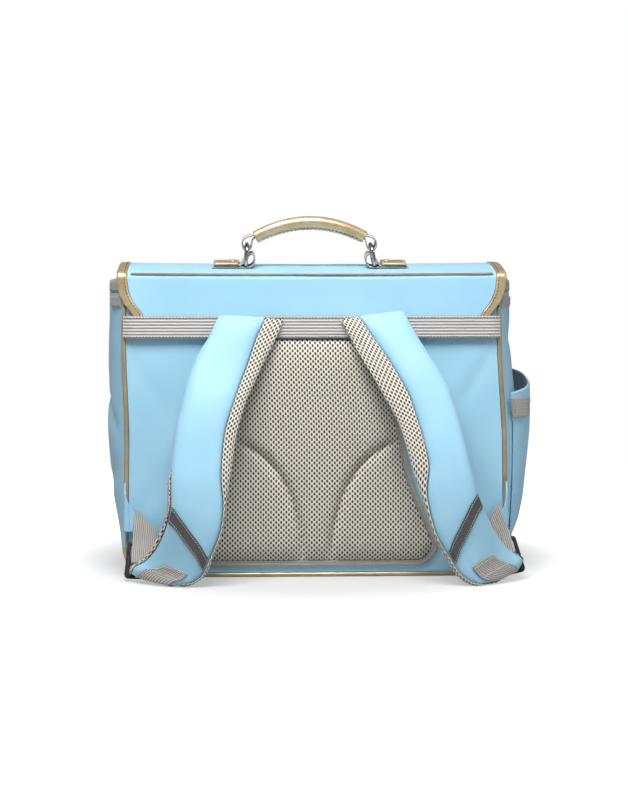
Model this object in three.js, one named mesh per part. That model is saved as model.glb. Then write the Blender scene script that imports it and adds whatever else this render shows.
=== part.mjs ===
// School satchel worn as a backpack, standing on its base.
// Millimetres. +Z is up, -Y is the side worn against the back, +X is to the right of that view.
// The origin is the middle of the base.
import * as THREE from "three";

// Driving sizes of the body
const bodyWidth = 380;
const bodyDepth = 150;
const panelTop = 284;
const cornerRadius = 28;
const panelWall = 2.6;
const cloth = 2.2;
const gap = 0.3;
const backBow = 3;
const frontBow = 7;
const gussetBulge = 20;
const gussetTop = 286;
const gussetBindingHeight = 13;
const gussetBindingWall = 3.2;
const pipingRadius = 2.3;
const pipingProud = 1.5;
const footFlare = 5;
const leanTop = -1.8;
const leanFoot = 2.4;
const leanFrom = 0.845;
const leanTo = 0.458;

// Driving sizes of the flap
const ridgeHeight = 306.7;
const ridgeRadius = 6;
const crownHeight = 8.4;
const flapSag = 1.5;
const flapFrontEnd = 112;
const flapOverhang = 5;
const flapCorner = 42;
const bindingWidth = 10.5;
const bindingWall = 3.6;
const ridgeCordRadius = 1.3;
const ridgeCordEnd = 7;
const claspWidth = 26;
const claspLength = 46;
const claspWall = 4.5;
const claspSpacing = 190;

// Driving sizes of the band, pad and pocket on the outside
const bandBottom = 241.5;
const bandHeight = 22;
const bandWall = 1.3;
const ribHeight = 0.6;
const ribCount = 7;
const padTop = 240;
const padFloor = 11;
const padHalfWidth = 122;
const padThickness = 12;
const padEdge = 3.2;
const padCorner = 24;
const padBindingWidth = 6.5;
const padBindingWall = 3.6;
const channelReach = 6;
const channelDepth = 0.62;
const pocketTop = 196;
const pocketFloor = 38;
const pocketBulge = 13.4;
const pocketHalfDepth = 60;
const pocketRimSlant = 11;
const hemHeight = 20;
const hemExtra = 0.9;
const pocketStrapWidth = 19;
const webbingWall = 1.6;

// Driving sizes of the shoulder straps and what hangs on them
const strapThickness = 13;
const strapTop = 264;
const strapReach = 71;
const meshShare = 0.3;
const stripWidth = 12;
const thinWall = 0.8;
const stripLift = 0.45;
const webbingWidth = 24;
const buckleWidth = 36;
const buckleLength = 38;
const buckleWall = 4.2;
const buckleBar = 4.6;
const sideTabTop = 97;
const tabNarrow = 48;
const sideTabReach = 4.2;

// Driving sizes of the handle
const handleOffset = -3;
const handleSetBack = 29;
const gripHalfLength = 55;
const gripEndHeight = 31.6;
const gripRise = 14.5;
const gripRadius = 6;
const gripFin = 2.4;
const ringGap = 18;
const ringWidth = 28;
const ringWire = 2;
const ringCorner = 5;
const handleWebbing = 22;
const handleWall = 1.6;
const patchStart = 71.5;
const patchEnd = 97;
const patchWidth = 25;
const patchWall = 1.8;
const rivetPlace = 78;
const rivetRadius = 4;

const halfWidth = bodyWidth / 2;
const halfDepth = bodyDepth / 2;
const flapHalfWidth = halfWidth + flapOverhang;
const pipingInset = pipingRadius + gap;
const panelInset = 2 * pipingRadius + 2 * gap;
const gussetHalfDepth = halfDepth + pipingProud - 2 * pipingRadius - gap;

const cloths = {
  blue: new THREE.MeshStandardMaterial({ color: 0xa9d8f0, roughness: 0.55, metalness: 0 }),
  gold: new THREE.MeshStandardMaterial({ color: 0xc9b48e, roughness: 0.35, metalness: 0.6 }),
  grey: new THREE.MeshStandardMaterial({ color: 0xb9b6b3, roughness: 0.8, metalness: 0 }),
  mesh: new THREE.MeshStandardMaterial({ color: 0xcac4b8, roughness: 0.9, metalness: 0 }),
  reflective: new THREE.MeshStandardMaterial({ color: 0x545456, roughness: 0.5, metalness: 0.1 }),
  nickel: new THREE.MeshStandardMaterial({ color: 0xb9bcc0, roughness: 0.25, metalness: 1 }),
  black: new THREE.MeshStandardMaterial({ color: 0x262629, roughness: 0.5, metalness: 0 }),
};

const model = new THREE.Group();

const point = (x, y, z) => new THREE.Vector3(x, y, z);
const mix = (a, b, t) => a + (b - a) * t;
const steps = (count, from = 0, to = 1) =>
  Array.from({ length: count + 1 }, (_, i) => mix(from, to, i / count));
const smooth = (t) => {
  const c = Math.min(1, Math.max(0, t));
  return c * c * (3 - 2 * c);
};
const bump = (distance, reach) => Math.exp(-((distance / reach) ** 2));

// Reads a column of a table of rows at a place along its first column, with smooth tangents.
function along(rows, key, place, column) {
  const last = rows.length - 1;
  let i = 0;
  while (i < last - 1 && place > rows[i + 1][key]) i++;
  const at = (k) => rows[Math.min(last, Math.max(0, k))];
  const [a, b, c, d] = [at(i - 1), at(i), at(i + 1), at(i + 2)];
  const span = c[key] - b[key];
  const t = Math.min(1, Math.max(0, (place - b[key]) / span));
  const slope = (p, q) => (q[key] === p[key] ? 0 : (q[column] - p[column]) / (q[key] - p[key]));
  const m0 = slope(a, c) * span;
  const m1 = slope(b, d) * span;
  const [t2, t3] = [t * t, t * t * t];
  return (2 * t3 - 3 * t2 + 1) * b[column] + (t3 - 2 * t2 + t) * m0
    + (3 * t2 - 2 * t3) * c[column] + (t3 - t2) * m1;
}

// A geometry from points and triangles, turned so that its faces point out.
function solid(points, faces) {
  let volume = 0;
  for (const [a, b, c] of faces) {
    volume += points[a].dot(point(0, 0, 0).crossVectors(points[b], points[c]));
  }
  const turned = volume < 0 ? faces.map(([a, b, c]) => [a, c, b]) : faces;
  const geometry = new THREE.BufferGeometry();
  const position = new Float32Array(points.flatMap((p) => [p.x, p.y, p.z]));
  geometry.setAttribute("position", new THREE.BufferAttribute(position, 3));
  geometry.setIndex(turned.flat());
  geometry.computeVertexNormals();
  return geometry;
}

// A closed sheet between two surfaces, each a function of u and v, sampled at the given places.
function sheet(front, back, us, vs) {
  const [columns, rows] = [us.length, vs.length];
  const points = [front, back].flatMap((side) => vs.flatMap((v) => us.map((u) => side(u, v))));
  const layer = columns * rows;
  const faces = [];
  const quad = (a, b, c, d) => faces.push([a, b, c], [a, c, d]);
  for (let j = 0; j < rows - 1; j++) {
    for (let i = 0; i < columns - 1; i++) {
      const a = j * columns + i;
      quad(a, a + 1, a + 1 + columns, a + columns);
      quad(layer + a, layer + a + columns, layer + a + 1 + columns, layer + a + 1);
    }
  }
  const rim = [
    ...us.map((_, i) => i),
    ...vs.slice(1).map((_, j) => (j + 1) * columns + columns - 1),
    ...us.slice(1).map((_, i) => layer - 2 - i),
    ...vs.slice(1, -1).map((_, j) => (rows - 2 - j) * columns),
  ];
  rim.forEach((a, k) => {
    const b = rim[(k + 1) % rim.length];
    quad(b, a, layer + a, layer + b);
  });
  return solid(points, faces);
}

// The direction square to a surface at a place on it, from small steps along u and v.
function squareTo(surface, u, v, step = 1e-3) {
  const du = surface(u + step, v).sub(surface(u - step, v));
  const dv = surface(u, v + step).sub(surface(u, v - step));
  return du.cross(dv).normalize();
}

// A sheet of even wall on both sides of a middle surface.
function wall(surface, thickness, us, vs) {
  const side = (sign) => (u, v) =>
    surface(u, v).addScaledVector(squareTo(surface, u, v), (sign * thickness) / 2);
  return sheet(side(1), side(-1), us, vs);
}

// A solid through rings of equal point count, with flat ends unless the rings close on themselves.
function loft(rings, closed = false) {
  const n = rings[0].length;
  const points = rings.flat();
  const faces = [];
  const spans = closed ? rings.length : rings.length - 1;
  for (let j = 0; j < spans; j++) {
    const k = (j + 1) % rings.length;
    for (let i = 0; i < n; i++) {
      const m = (i + 1) % n;
      faces.push([j * n + i, j * n + m, k * n + m], [j * n + i, k * n + m, k * n + i]);
    }
  }
  if (!closed) {
    const cap = (ring, start, flip) => {
      const centre = ring.reduce((sum, p) => sum.add(p), point(0, 0, 0)).divideScalar(n);
      const normal = point(0, 0, 0);
      ring.forEach((p, i) => normal.add(
        p.clone().sub(centre).cross(ring[(i + 1) % n].clone().sub(centre))));
      normal.normalize();
      const across = ring[1].clone().sub(ring[0]).normalize();
      const up = normal.clone().cross(across);
      const flat = ring.map((p) => {
        const d = p.clone().sub(centre);
        return new THREE.Vector2(d.dot(across), d.dot(up));
      });
      for (const [a, b, c] of THREE.ShapeUtils.triangulateShape(flat, [])) {
        faces.push(flip ? [start + a, start + c, start + b] : [start + a, start + b, start + c]);
      }
    };
    cap(rings[0], 0, true);
    cap(rings[rings.length - 1], (rings.length - 1) * n, false);
  }
  return solid(points, faces);
}

// Rings of one outline, given as [across, up] pairs, carried along stations with their own axes.
const carried = (stations, outline) => stations.map(({ at, across, up }) =>
  outline.map(([a, b]) => at.clone().addScaledVector(across, a).addScaledVector(up, b)));

// An outline that is round, with its flats on the axes.
const roundOutline = (radius, sides) => steps(sides).slice(0, -1).map((t) => [
  radius * Math.cos(2 * Math.PI * (t + 0.5 / sides)),
  radius * Math.sin(2 * Math.PI * (t + 0.5 / sides)),
]);

// A box outline with its long corners eased.
const bandOutline = (width, height, ease) => [
  [-width / 2 + ease, -height / 2], [width / 2 - ease, -height / 2],
  [width / 2, -height / 2 + ease], [width / 2, height / 2 - ease],
  [width / 2 - ease, height / 2], [-width / 2 + ease, height / 2],
  [-width / 2, height / 2 - ease], [-width / 2, -height / 2 + ease],
];

// Stations along a path of points, with the up axis kept square to the path and near a given one.
function stationsOn(path, upAt, closed = false) {
  const n = path.length;
  return path.map((at, i) => {
    const before = path[closed ? (i + n - 1) % n : Math.max(0, i - 1)];
    const after = path[closed ? (i + 1) % n : Math.min(n - 1, i + 1)];
    const heading = after.clone().sub(before).normalize();
    const across = heading.clone().cross(upAt(i)).normalize();
    return { at, heading, across, up: across.clone().cross(heading) };
  });
}

function add(name, geometry, material, parent = model) {
  const mesh = new THREE.Mesh(geometry, material);
  mesh.name = name;
  parent.add(mesh);
  return mesh;
}

// The loaded body is a little wider at its foot and leans across: each height is moved and widened.
const leanAt = (z) => mix(leanTop, leanFoot, smooth((leanFrom - z / panelTop) / (leanFrom - leanTo)));
const leanX = (x, z) => x * (1 + (footFlare / halfWidth) * (1 - z / panelTop)) + leanAt(z);

function addLeaned(name, geometry, material) {
  const places = geometry.getAttribute("position");
  for (let i = 0; i < places.count; i++) places.setX(i, leanX(places.getX(i), places.getZ(i)));
  geometry.computeVertexNormals();
  return add(name, geometry, material);
}

const sides = [
  { side: "left", sign: -1 },
  { side: "right", sign: 1 },
];

// Body: two bowed panels, two bulging gussets and a flat base, open at the top.

// The worn face of the back panel and the outer face of the front panel, as a Y for each x and z.
const bowAt = (x, z) => Math.max(0, 1 - (x / halfWidth) ** 2)
  * Math.sin(Math.PI * Math.min(1, Math.max(0, z / panelTop)));
const backFace = (x, z) => -halfDepth - backBow * bowAt(x, z);
const frontFace = (x, z) => halfDepth + frontBow * bowAt(x, z);

const topCorner = 9;
const arcSteps = 5;
const panelHalf = halfWidth - panelInset;
const panelRows = [
  ...steps(arcSteps).map((t) => {
    const r = cornerRadius - panelInset;
    const angle = (t * Math.PI) / 2;
    return { z: panelInset + r * (1 - Math.cos(angle)), half: panelHalf - r * (1 - Math.sin(angle)) };
  }),
  ...steps(5, cornerRadius, panelTop - topCorner).slice(1).map((z) => ({ z, half: panelHalf })),
  ...steps(3).slice(1).map((t) => {
    const angle = (t * Math.PI) / 2;
    return {
      z: panelTop - topCorner * (1 - Math.sin(angle)),
      half: panelHalf - topCorner * (1 - Math.cos(angle)),
    };
  }),
];

function panel(face, inward) {
  const rows = panelRows.map((_, j) => j);
  const surface = (offset) => (u, j) => {
    const { z, half } = panelRows[j];
    return point(u * half, face(u * half, z) + inward * offset, z);
  };
  return sheet(surface(0), surface(panelWall), steps(6, -1, 1), rows);
}
addLeaned("back_panel", panel(backFace, 1), cloths.blue);
addLeaned("front_panel", panel(frontFace, -1), cloths.blue);

// How far the gusset swells at each height, as a share of its bulge.
const gussetSwell = [
  { height: 0, swell: 0.02 },
  { height: 0.12, swell: 0.24 },
  { height: 0.2, swell: 0.47 },
  { height: 0.28, swell: 0.69 },
  { height: 0.38, swell: 0.87 },
  { height: 0.52, swell: 1 },
  { height: 0.65, swell: 0.9 },
  { height: 0.82, swell: 0.81 },
  { height: 1, swell: 0.78 },
];
// Pressed folds of the gussets: depth and height of the middle as shares, slope, reach and push.
const gussetFolds = {
  left: [
    { depth: -0.42, height: 0.585, slope: 0.62, long: 34, wide: 9, push: 5.5 },
    { depth: -0.55, height: 0.36, slope: -0.35, long: 40, wide: 12, push: 3 },
    { depth: 0.4, height: 0.62, slope: -0.5, long: 38, wide: 12, push: 4 },
  ],
  right: [
    { depth: 0.45, height: 0.62, slope: 0.5, long: 36, wide: 12, push: 4 },
    { depth: -0.5, height: 0.85, slope: -0.4, long: 26, wide: 10, push: 2.5 },
  ],
};

// Outer face of a gusset: u runs across the depth from -1 to 1, v is a height from the base.
function gussetFace(side, sign, u, height) {
  const y = u * gussetHalfDepth;
  const swell = gussetBulge * along(gussetSwell, "height", height / gussetTop, "swell");
  let out = swell * (1 - Math.abs(u) ** 2.4);
  for (const fold of gussetFolds[side]) {
    const [dy, dz] = [y - fold.depth * gussetHalfDepth, height - fold.height * gussetTop];
    const turn = Math.atan(fold.slope);
    const long = dy * Math.cos(turn) + dz * Math.sin(turn);
    const wide = dz * Math.cos(turn) - dy * Math.sin(turn);
    out -= fold.push * bump(long, fold.long) * bump(wide, fold.wide) * (1 - u ** 4);
  }
  return point(sign * (halfWidth + out), y, height);
}

// The corner where a gusset turns under the base: t is 0 at the wall and 1 at the base.
function gussetCorner(side, sign, u, t, inset) {
  const angle = (t * Math.PI) / 2;
  const start = gussetFace(side, sign, u, cornerRadius);
  const extra = (Math.abs(start.x) - halfWidth) * (1 - smooth(t));
  const r = cornerRadius - inset;
  return point(
    sign * (halfWidth - cornerRadius + (r + extra) * Math.cos(angle)),
    u * gussetHalfDepth,
    cornerRadius - r * Math.sin(angle),
  );
}

function gusset({ side, sign }) {
  const heights = steps(10, gussetTop, cornerRadius);
  const turns = steps(4).slice(1);
  const rows = [
    ...heights.map((z) => (u, inset) => gussetFace(side, sign, u, z).add(point(-sign * inset, 0, 0))),
    ...turns.map((t) => (u, inset) => gussetCorner(side, sign, u, t, inset)),
  ];
  const surface = (inset) => (u, j) => rows[j](u, inset);
  return sheet(surface(0), surface(cloth), steps(8, -1, 1), rows.map((_, j) => j));
}

// The grey binding along a gusset's top edge, a little thicker than the cloth it wraps.
function gussetBinding({ side, sign }) {
  const proud = (gussetBindingWall - cloth) / 2;
  const surface = (out) => (u, v) => {
    const face = gussetFace(side, sign, u, gussetTop);
    return face.add(point(sign * out, 0, v));
  };
  const rows = [gap, gussetBindingHeight];
  return sheet(surface(proud), surface(proud - gussetBindingWall), steps(8, -1, 1), rows);
}

for (const each of sides) {
  addLeaned("gusset_" + each.side, gusset(each), cloths.blue);
  addLeaned("gusset_binding_" + each.side, gussetBinding(each), cloths.grey);
}

const baseHalf = halfWidth - cornerRadius - gap;
const base = new THREE.BoxGeometry(2 * baseHalf, 2 * gussetHalfDepth, cloth);
addLeaned("base_panel", base.translate(0, 0, cloth / 2), cloths.blue);

// The short grey tabs that close the top of each back seam, laid on the gusset.
const cornerTabHeight = 11;
const cornerTabLength = 26;
const cornerTabWall = 2;
const cornerTabTop = 283;
for (const { side, sign } of sides) {
  const surface = (out) => (u, v) => {
    const depth = u * cornerTabLength - gussetHalfDepth;
    const face = gussetFace(side, sign, depth / gussetHalfDepth, cornerTabTop - v);
    return point(face.x + sign * (gap + 0.2 + out), face.y, face.z);
  };
  const heights = [0, cornerTabHeight];
  addLeaned("corner_tab_" + side, sheet(surface(cornerTabWall), surface(0), steps(4), heights), cloths.grey);
}

// Gold cords in the seams, each a U that runs down one side, under the base and up the other.
function seamPath(y, top) {
  const half = halfWidth - pipingInset;
  const r = cornerRadius - pipingInset;
  const corner = (sign, t) => {
    const angle = (t * Math.PI) / 2;
    return point(sign * (half - r * (1 - Math.cos(angle))), y, cornerRadius - r * Math.sin(angle));
  };
  return [
    ...steps(5, top, cornerRadius).map((z) => point(-half, y, z)),
    ...steps(arcSteps).slice(1).map((t) => corner(-1, t)),
    ...steps(arcSteps).map((t) => corner(1, 1 - t)),
    ...steps(5, cornerRadius, top).slice(1).map((z) => point(half, y, z)),
  ];
}
const pipingTop = cornerTabTop - cornerTabHeight - gap;
for (const [name, sign] of [["piping_back", -1], ["piping_front", 1]]) {
  const path = seamPath(sign * (halfDepth + pipingProud - pipingRadius), pipingTop);
  const stations = stationsOn(path, () => point(0, 1, 0));
  addLeaned(name, loft(carried(stations, roundOutline(pipingRadius, 8))), cloths.gold);
}

// Flap: one sheet from under the band, over the top and down the front.

const flapLift = pipingProud + gap + bindingWall / 2;
const flapY = halfDepth + flapLift;
const flapStart = bandBottom + 1.5;
const crownHalf = flapY - ridgeRadius;
const crownRadius = (crownHalf ** 2 + crownHeight ** 2) / (2 * crownHeight);
const crownTurn = Math.asin(crownHalf / crownRadius);
const flapStraight = flapFrontEnd + flapCorner;

// Half of the flap's width at each height of its back, as shares of the ridge and the full half.
const flapEdge = [
  { height: 0.792, half: 0.893 },
  { height: 0.861, half: 0.917 },
  { height: 0.9, half: 0.962 },
  { height: 0.939, half: 0.99 },
  { height: 0.978, half: 1 },
];

// A place on the top between the ridges, for a way of facing between back and front.
const onCrown = (face) => ({
  y: crownRadius * Math.sin(face),
  z: ridgeHeight + crownHeight - crownRadius * (1 - Math.cos(face)),
  face,
  half: flapHalfWidth,
  sag: 1,
});
const onRidge = (sign, face) => ({
  y: sign * (flapY - ridgeRadius) + ridgeRadius * Math.sin(face),
  z: ridgeHeight - ridgeRadius + ridgeRadius * Math.cos(face),
  face,
  half: flapHalfWidth,
  sag: 1 - Math.abs(face) / (Math.PI / 2) * 0.4,
});
const onSide = (sign, z) => ({
  y: sign * flapY,
  z,
  face: (sign * Math.PI) / 2,
  half: flapHalfWidth * (sign < 0 ? along(flapEdge, "height", z / ridgeHeight, "half") : 1),
  sag: 0,
});
const sideTop = ridgeHeight - ridgeRadius;
// The flap's side view from back to front, as rows of depth, height, facing and half width.
const flapRows = [
  ...[0, 0.36, 0.46, 0.57, 0.71, 0.85, 1].map((t) => onSide(-1, mix(flapStart, sideTop, t))),
  ...steps(3, -Math.PI / 2, -crownTurn).slice(1).map((face) => onRidge(-1, face)),
  ...steps(6, -crownTurn, crownTurn).slice(1, -1).map(onCrown),
  ...steps(3, crownTurn, Math.PI / 2).slice(0, -1).map((face) => onRidge(1, face)),
  ...steps(4, sideTop, flapStraight).map((z) => onSide(1, z)),
];
// The rows that follow where the front corners round off, for an edge moved in by an inset.
const cornerRows = (inset) => steps(5).slice(1).map((t) => {
  const r = flapCorner - inset;
  const angle = (t * Math.PI) / 2;
  return { ...onSide(1, flapStraight - r * Math.sin(angle)), trim: r * (1 - Math.cos(angle)) };
});

// A point of the flap: x across, a row for the side view, and a distance out of its middle.
function flapPoint(x, row, out) {
  const push = row.sag ? 0 : row.y < 0 ? -backBow * bowAt(x, row.z) : frontBow * bowAt(x, row.z);
  const dip = row.sag * flapSag * (1 - (x / flapHalfWidth) ** 2);
  return point(x, row.y + push + out * Math.sin(row.face), row.z - dip + out * Math.cos(row.face));
}

const clothInset = bindingWidth + gap;
const flapClothRows = [...flapRows, ...cornerRows(clothInset)];
{
  const surface = (out) => (u, j) => {
    const row = flapClothRows[j];
    return flapPoint(u * (row.half - clothInset - (row.trim ?? 0)), row, out);
  };
  const rows = flapClothRows.map((_, j) => j);
  addLeaned("flap", sheet(surface(cloth / 2), surface(-cloth / 2), steps(6, -1, 1), rows), cloths.blue);
}

// The gold binding, a strip that runs down one edge, across the front and up the other.
{
  const outer = [...flapRows, ...cornerRows(0)];
  const inner = [...flapRows, ...cornerRows(bindingWidth)];
  const section = [
    [0, -0.4], [0, 0.4], [0.08, 0.5], [0.86, 0.5], [1, 0], [0.86, -0.5], [0.08, -0.5],
  ];
  const ring = (sign) => (_, j) => section.map(([across, up]) => {
    const [a, b] = [inner[j], outer[j]];
    const edgeX = (row, inset) => sign * (row.half - inset - (row.trim ?? 0));
    const x = mix(edgeX(a, bindingWidth), edgeX(b, 0), across);
    const row = { ...b, z: mix(a.z, b.z, across), y: mix(a.y, b.y, across) };
    return flapPoint(x, row, up * bindingWall);
  });
  const foot = outer.length - 1;
  const straight = flapHalfWidth - flapCorner;
  const footRing = (x) => section.map(([across, up]) => {
    const row = { ...outer[foot], z: mix(inner[foot].z, outer[foot].z, across) };
    return flapPoint(x, row, up * bindingWall);
  });
  const rings = [
    ...outer.map(ring(-1)),
    ...steps(6, -straight, straight).slice(1, -1).map(footRing),
    ...outer.map(ring(1)).reverse(),
  ];
  addLeaned("flap_binding", loft(rings), cloths.gold);
}

// The thin cords along the two ridges of the flap.
for (const [name, sign] of [["flap_cord_back", -1], ["flap_cord_front", 1]]) {
  const row = onRidge(sign, (sign * Math.PI) / 3.6);
  const out = cloth / 2 + gap + ridgeCordRadius;
  const reach = flapHalfWidth - bindingWidth - ridgeCordEnd / 2;
  const path = steps(6, -reach, reach).map((x) => flapPoint(x, row, out));
  const stations = stationsOn(path, () => point(0, 0, 1));
  addLeaned(name, loft(carried(stations, roundOutline(ridgeCordRadius, 6))), cloths.grey);
}

// Plain clasps low on the flap's front.
for (const { side, sign } of sides) {
  const x = (sign * claspSpacing) / 2;
  const z = flapFrontEnd + 0.2 * claspLength;
  const front = flapPoint(x - (sign * claspWidth) / 2, onSide(1, z + claspLength / 2), bindingWall / 2);
  const clasp = new THREE.BoxGeometry(claspWidth, claspWall, claspLength);
  clasp.translate(x, front.y + gap + claspWall / 2, z);
  addLeaned("clasp_" + side, clasp, cloths.nickel);
}

// Ribbed webbing band across the back, over the flap's lower edge.
{
  const reach = halfWidth - pipingInset + 0.6;
  const standOff = flapLift + bindingWall / 2 + gap;
  const endOff = pipingProud + gap;
  const offAt = (x) => mix(standOff, endOff, smooth((Math.abs(x) - 181) / (reach - 181)));
  const outline = [];
  for (let i = 0; i < ribCount; i++) {
    const from = (i * bandHeight) / ribCount;
    const pitch = bandHeight / ribCount;
    outline.push([from + 0.1 * pitch, 0], [from + 0.35 * pitch, ribHeight], [from + 0.75 * pitch, ribHeight]);
  }
  const stops = [-1, -0.98, -0.96, -0.6, 0, 0.6, 0.96, 0.98, 1];
  const rings = stops.map((t) => {
    const x = t * reach;
    const bow = (z) => backBow * bowAt(x, z) * (Math.abs(t) < 0.95 ? 1 : 0);
    const y = -halfDepth - offAt(x) - bow(bandBottom);
    return [
      point(x, y, bandBottom + bandHeight), point(x, y, bandBottom),
      ...outline.map(([z, out]) => point(x, y - bandWall - out, bandBottom + z)),
      point(x, y - bandWall, bandBottom + bandHeight),
    ];
  });
  addLeaned("webbing_band", loft(rings), cloths.grey);
}

// Padded back: three crowned cells parted by two channels, with a binding on its sides and foot.

// Half of the pad's width at each height, as shares of its top and of its widest.
const padEdgeRows = [
  { height: 0.046, half: 1.02 },
  { height: 0.125, half: 1 },
  { height: 0.208, half: 0.935 },
  { height: 0.367, half: 0.81 },
  { height: 0.496, half: 0.742 },
  { height: 0.646, half: 0.697 },
  { height: 1, half: 0.5 },
];
// How far each channel lies from the middle, from the foot up to where it meets the edge.
const channelRows = [
  { height: 0.05, aside: 0.119 },
  { height: 0.15, aside: 0.119 },
  { height: 0.217, aside: 0.139 },
  { height: 0.296, aside: 0.176 },
  { height: 0.375, aside: 0.23 },
  { height: 0.442, aside: 0.307 },
  { height: 0.5, aside: 0.402 },
  { height: 0.546, aside: 0.525 },
  { height: 0.583, aside: 0.672 },
];
const channelTop = padTop * channelRows[channelRows.length - 1].height;
const padHalfAt = (z) => padHalfWidth * along(padEdgeRows, "height", z / padTop, "half");
function padOutline(inset) {
  const turn = padFloor + padCorner;
  const centre = padHalfAt(turn) - padCorner;
  const r = padCorner - inset;
  return [
    ...steps(5).map((t) => ({
      z: turn - r * Math.cos((t * Math.PI) / 2),
      half: centre + r * Math.sin((t * Math.PI) / 2),
    })),
    ...steps(12, turn, padTop).slice(1).map((z) => ({ z, half: padHalfAt(z) - inset })),
  ];
}
function channelDip(x, z) {
  const reach = (sign) => {
    const at = (h) => sign * padHalfWidth * along(channelRows, "height", h / padTop, "aside");
    const slope = (at(z + 1) - at(z - 1)) / 2;
    const aside = Math.abs(x - at(z)) / Math.hypot(1, slope);
    return bump(Math.hypot(aside, Math.max(0, z - channelTop)), channelReach);
  };
  return Math.max(reach(-1), reach(1));
}
{
  const rows = padOutline(padBindingWidth + gap);
  const front = (u, j) => {
    const { z, half } = rows[j];
    const x = u * half;
    const aside = Math.min(half - Math.abs(x), z - rows[0].z, padTop - z);
    const crown = 1 - (1 - Math.min(1, aside / 20)) ** 2;
    const thickness = padEdge + (padThickness - padEdge) * crown * (1 - channelDepth * channelDip(x, z));
    return point(x, backFace(x, z) - gap - thickness, z);
  };
  const back = (u, j) => point(u * rows[j].half, backFace(u * rows[j].half, rows[j].z) - gap, rows[j].z);
  const us = steps(18, -1, 1).map((t) => Math.sin((t * Math.PI) / 2) * 0.35 + t * 0.65);
  addLeaned("back_pad", sheet(front, back, us, rows.map((_, j) => j)), cloths.mesh);

  const [edge, inside] = [padOutline(0), padOutline(padBindingWidth)];
  const section = [[0, 0], [0, 0.7], [0.2, 1], [0.75, 1], [1, 0.55], [1, 0]];
  const ring = (sign) => (_, j) => section.map(([across, up]) => {
    const x = sign * mix(inside[j].half, edge[j].half, across);
    const z = mix(inside[j].z, edge[j].z, across);
    return point(x, backFace(x, z) - gap - up * padBindingWall, z);
  });
  const rings = [...edge.map(ring(-1)).reverse(), ...edge.map(ring(1))];
  addLeaned("pad_binding", loft(rings), cloths.grey);
}

// Shoulder straps: a covered pad over a mesh lining that shows along the inner edge.

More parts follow.
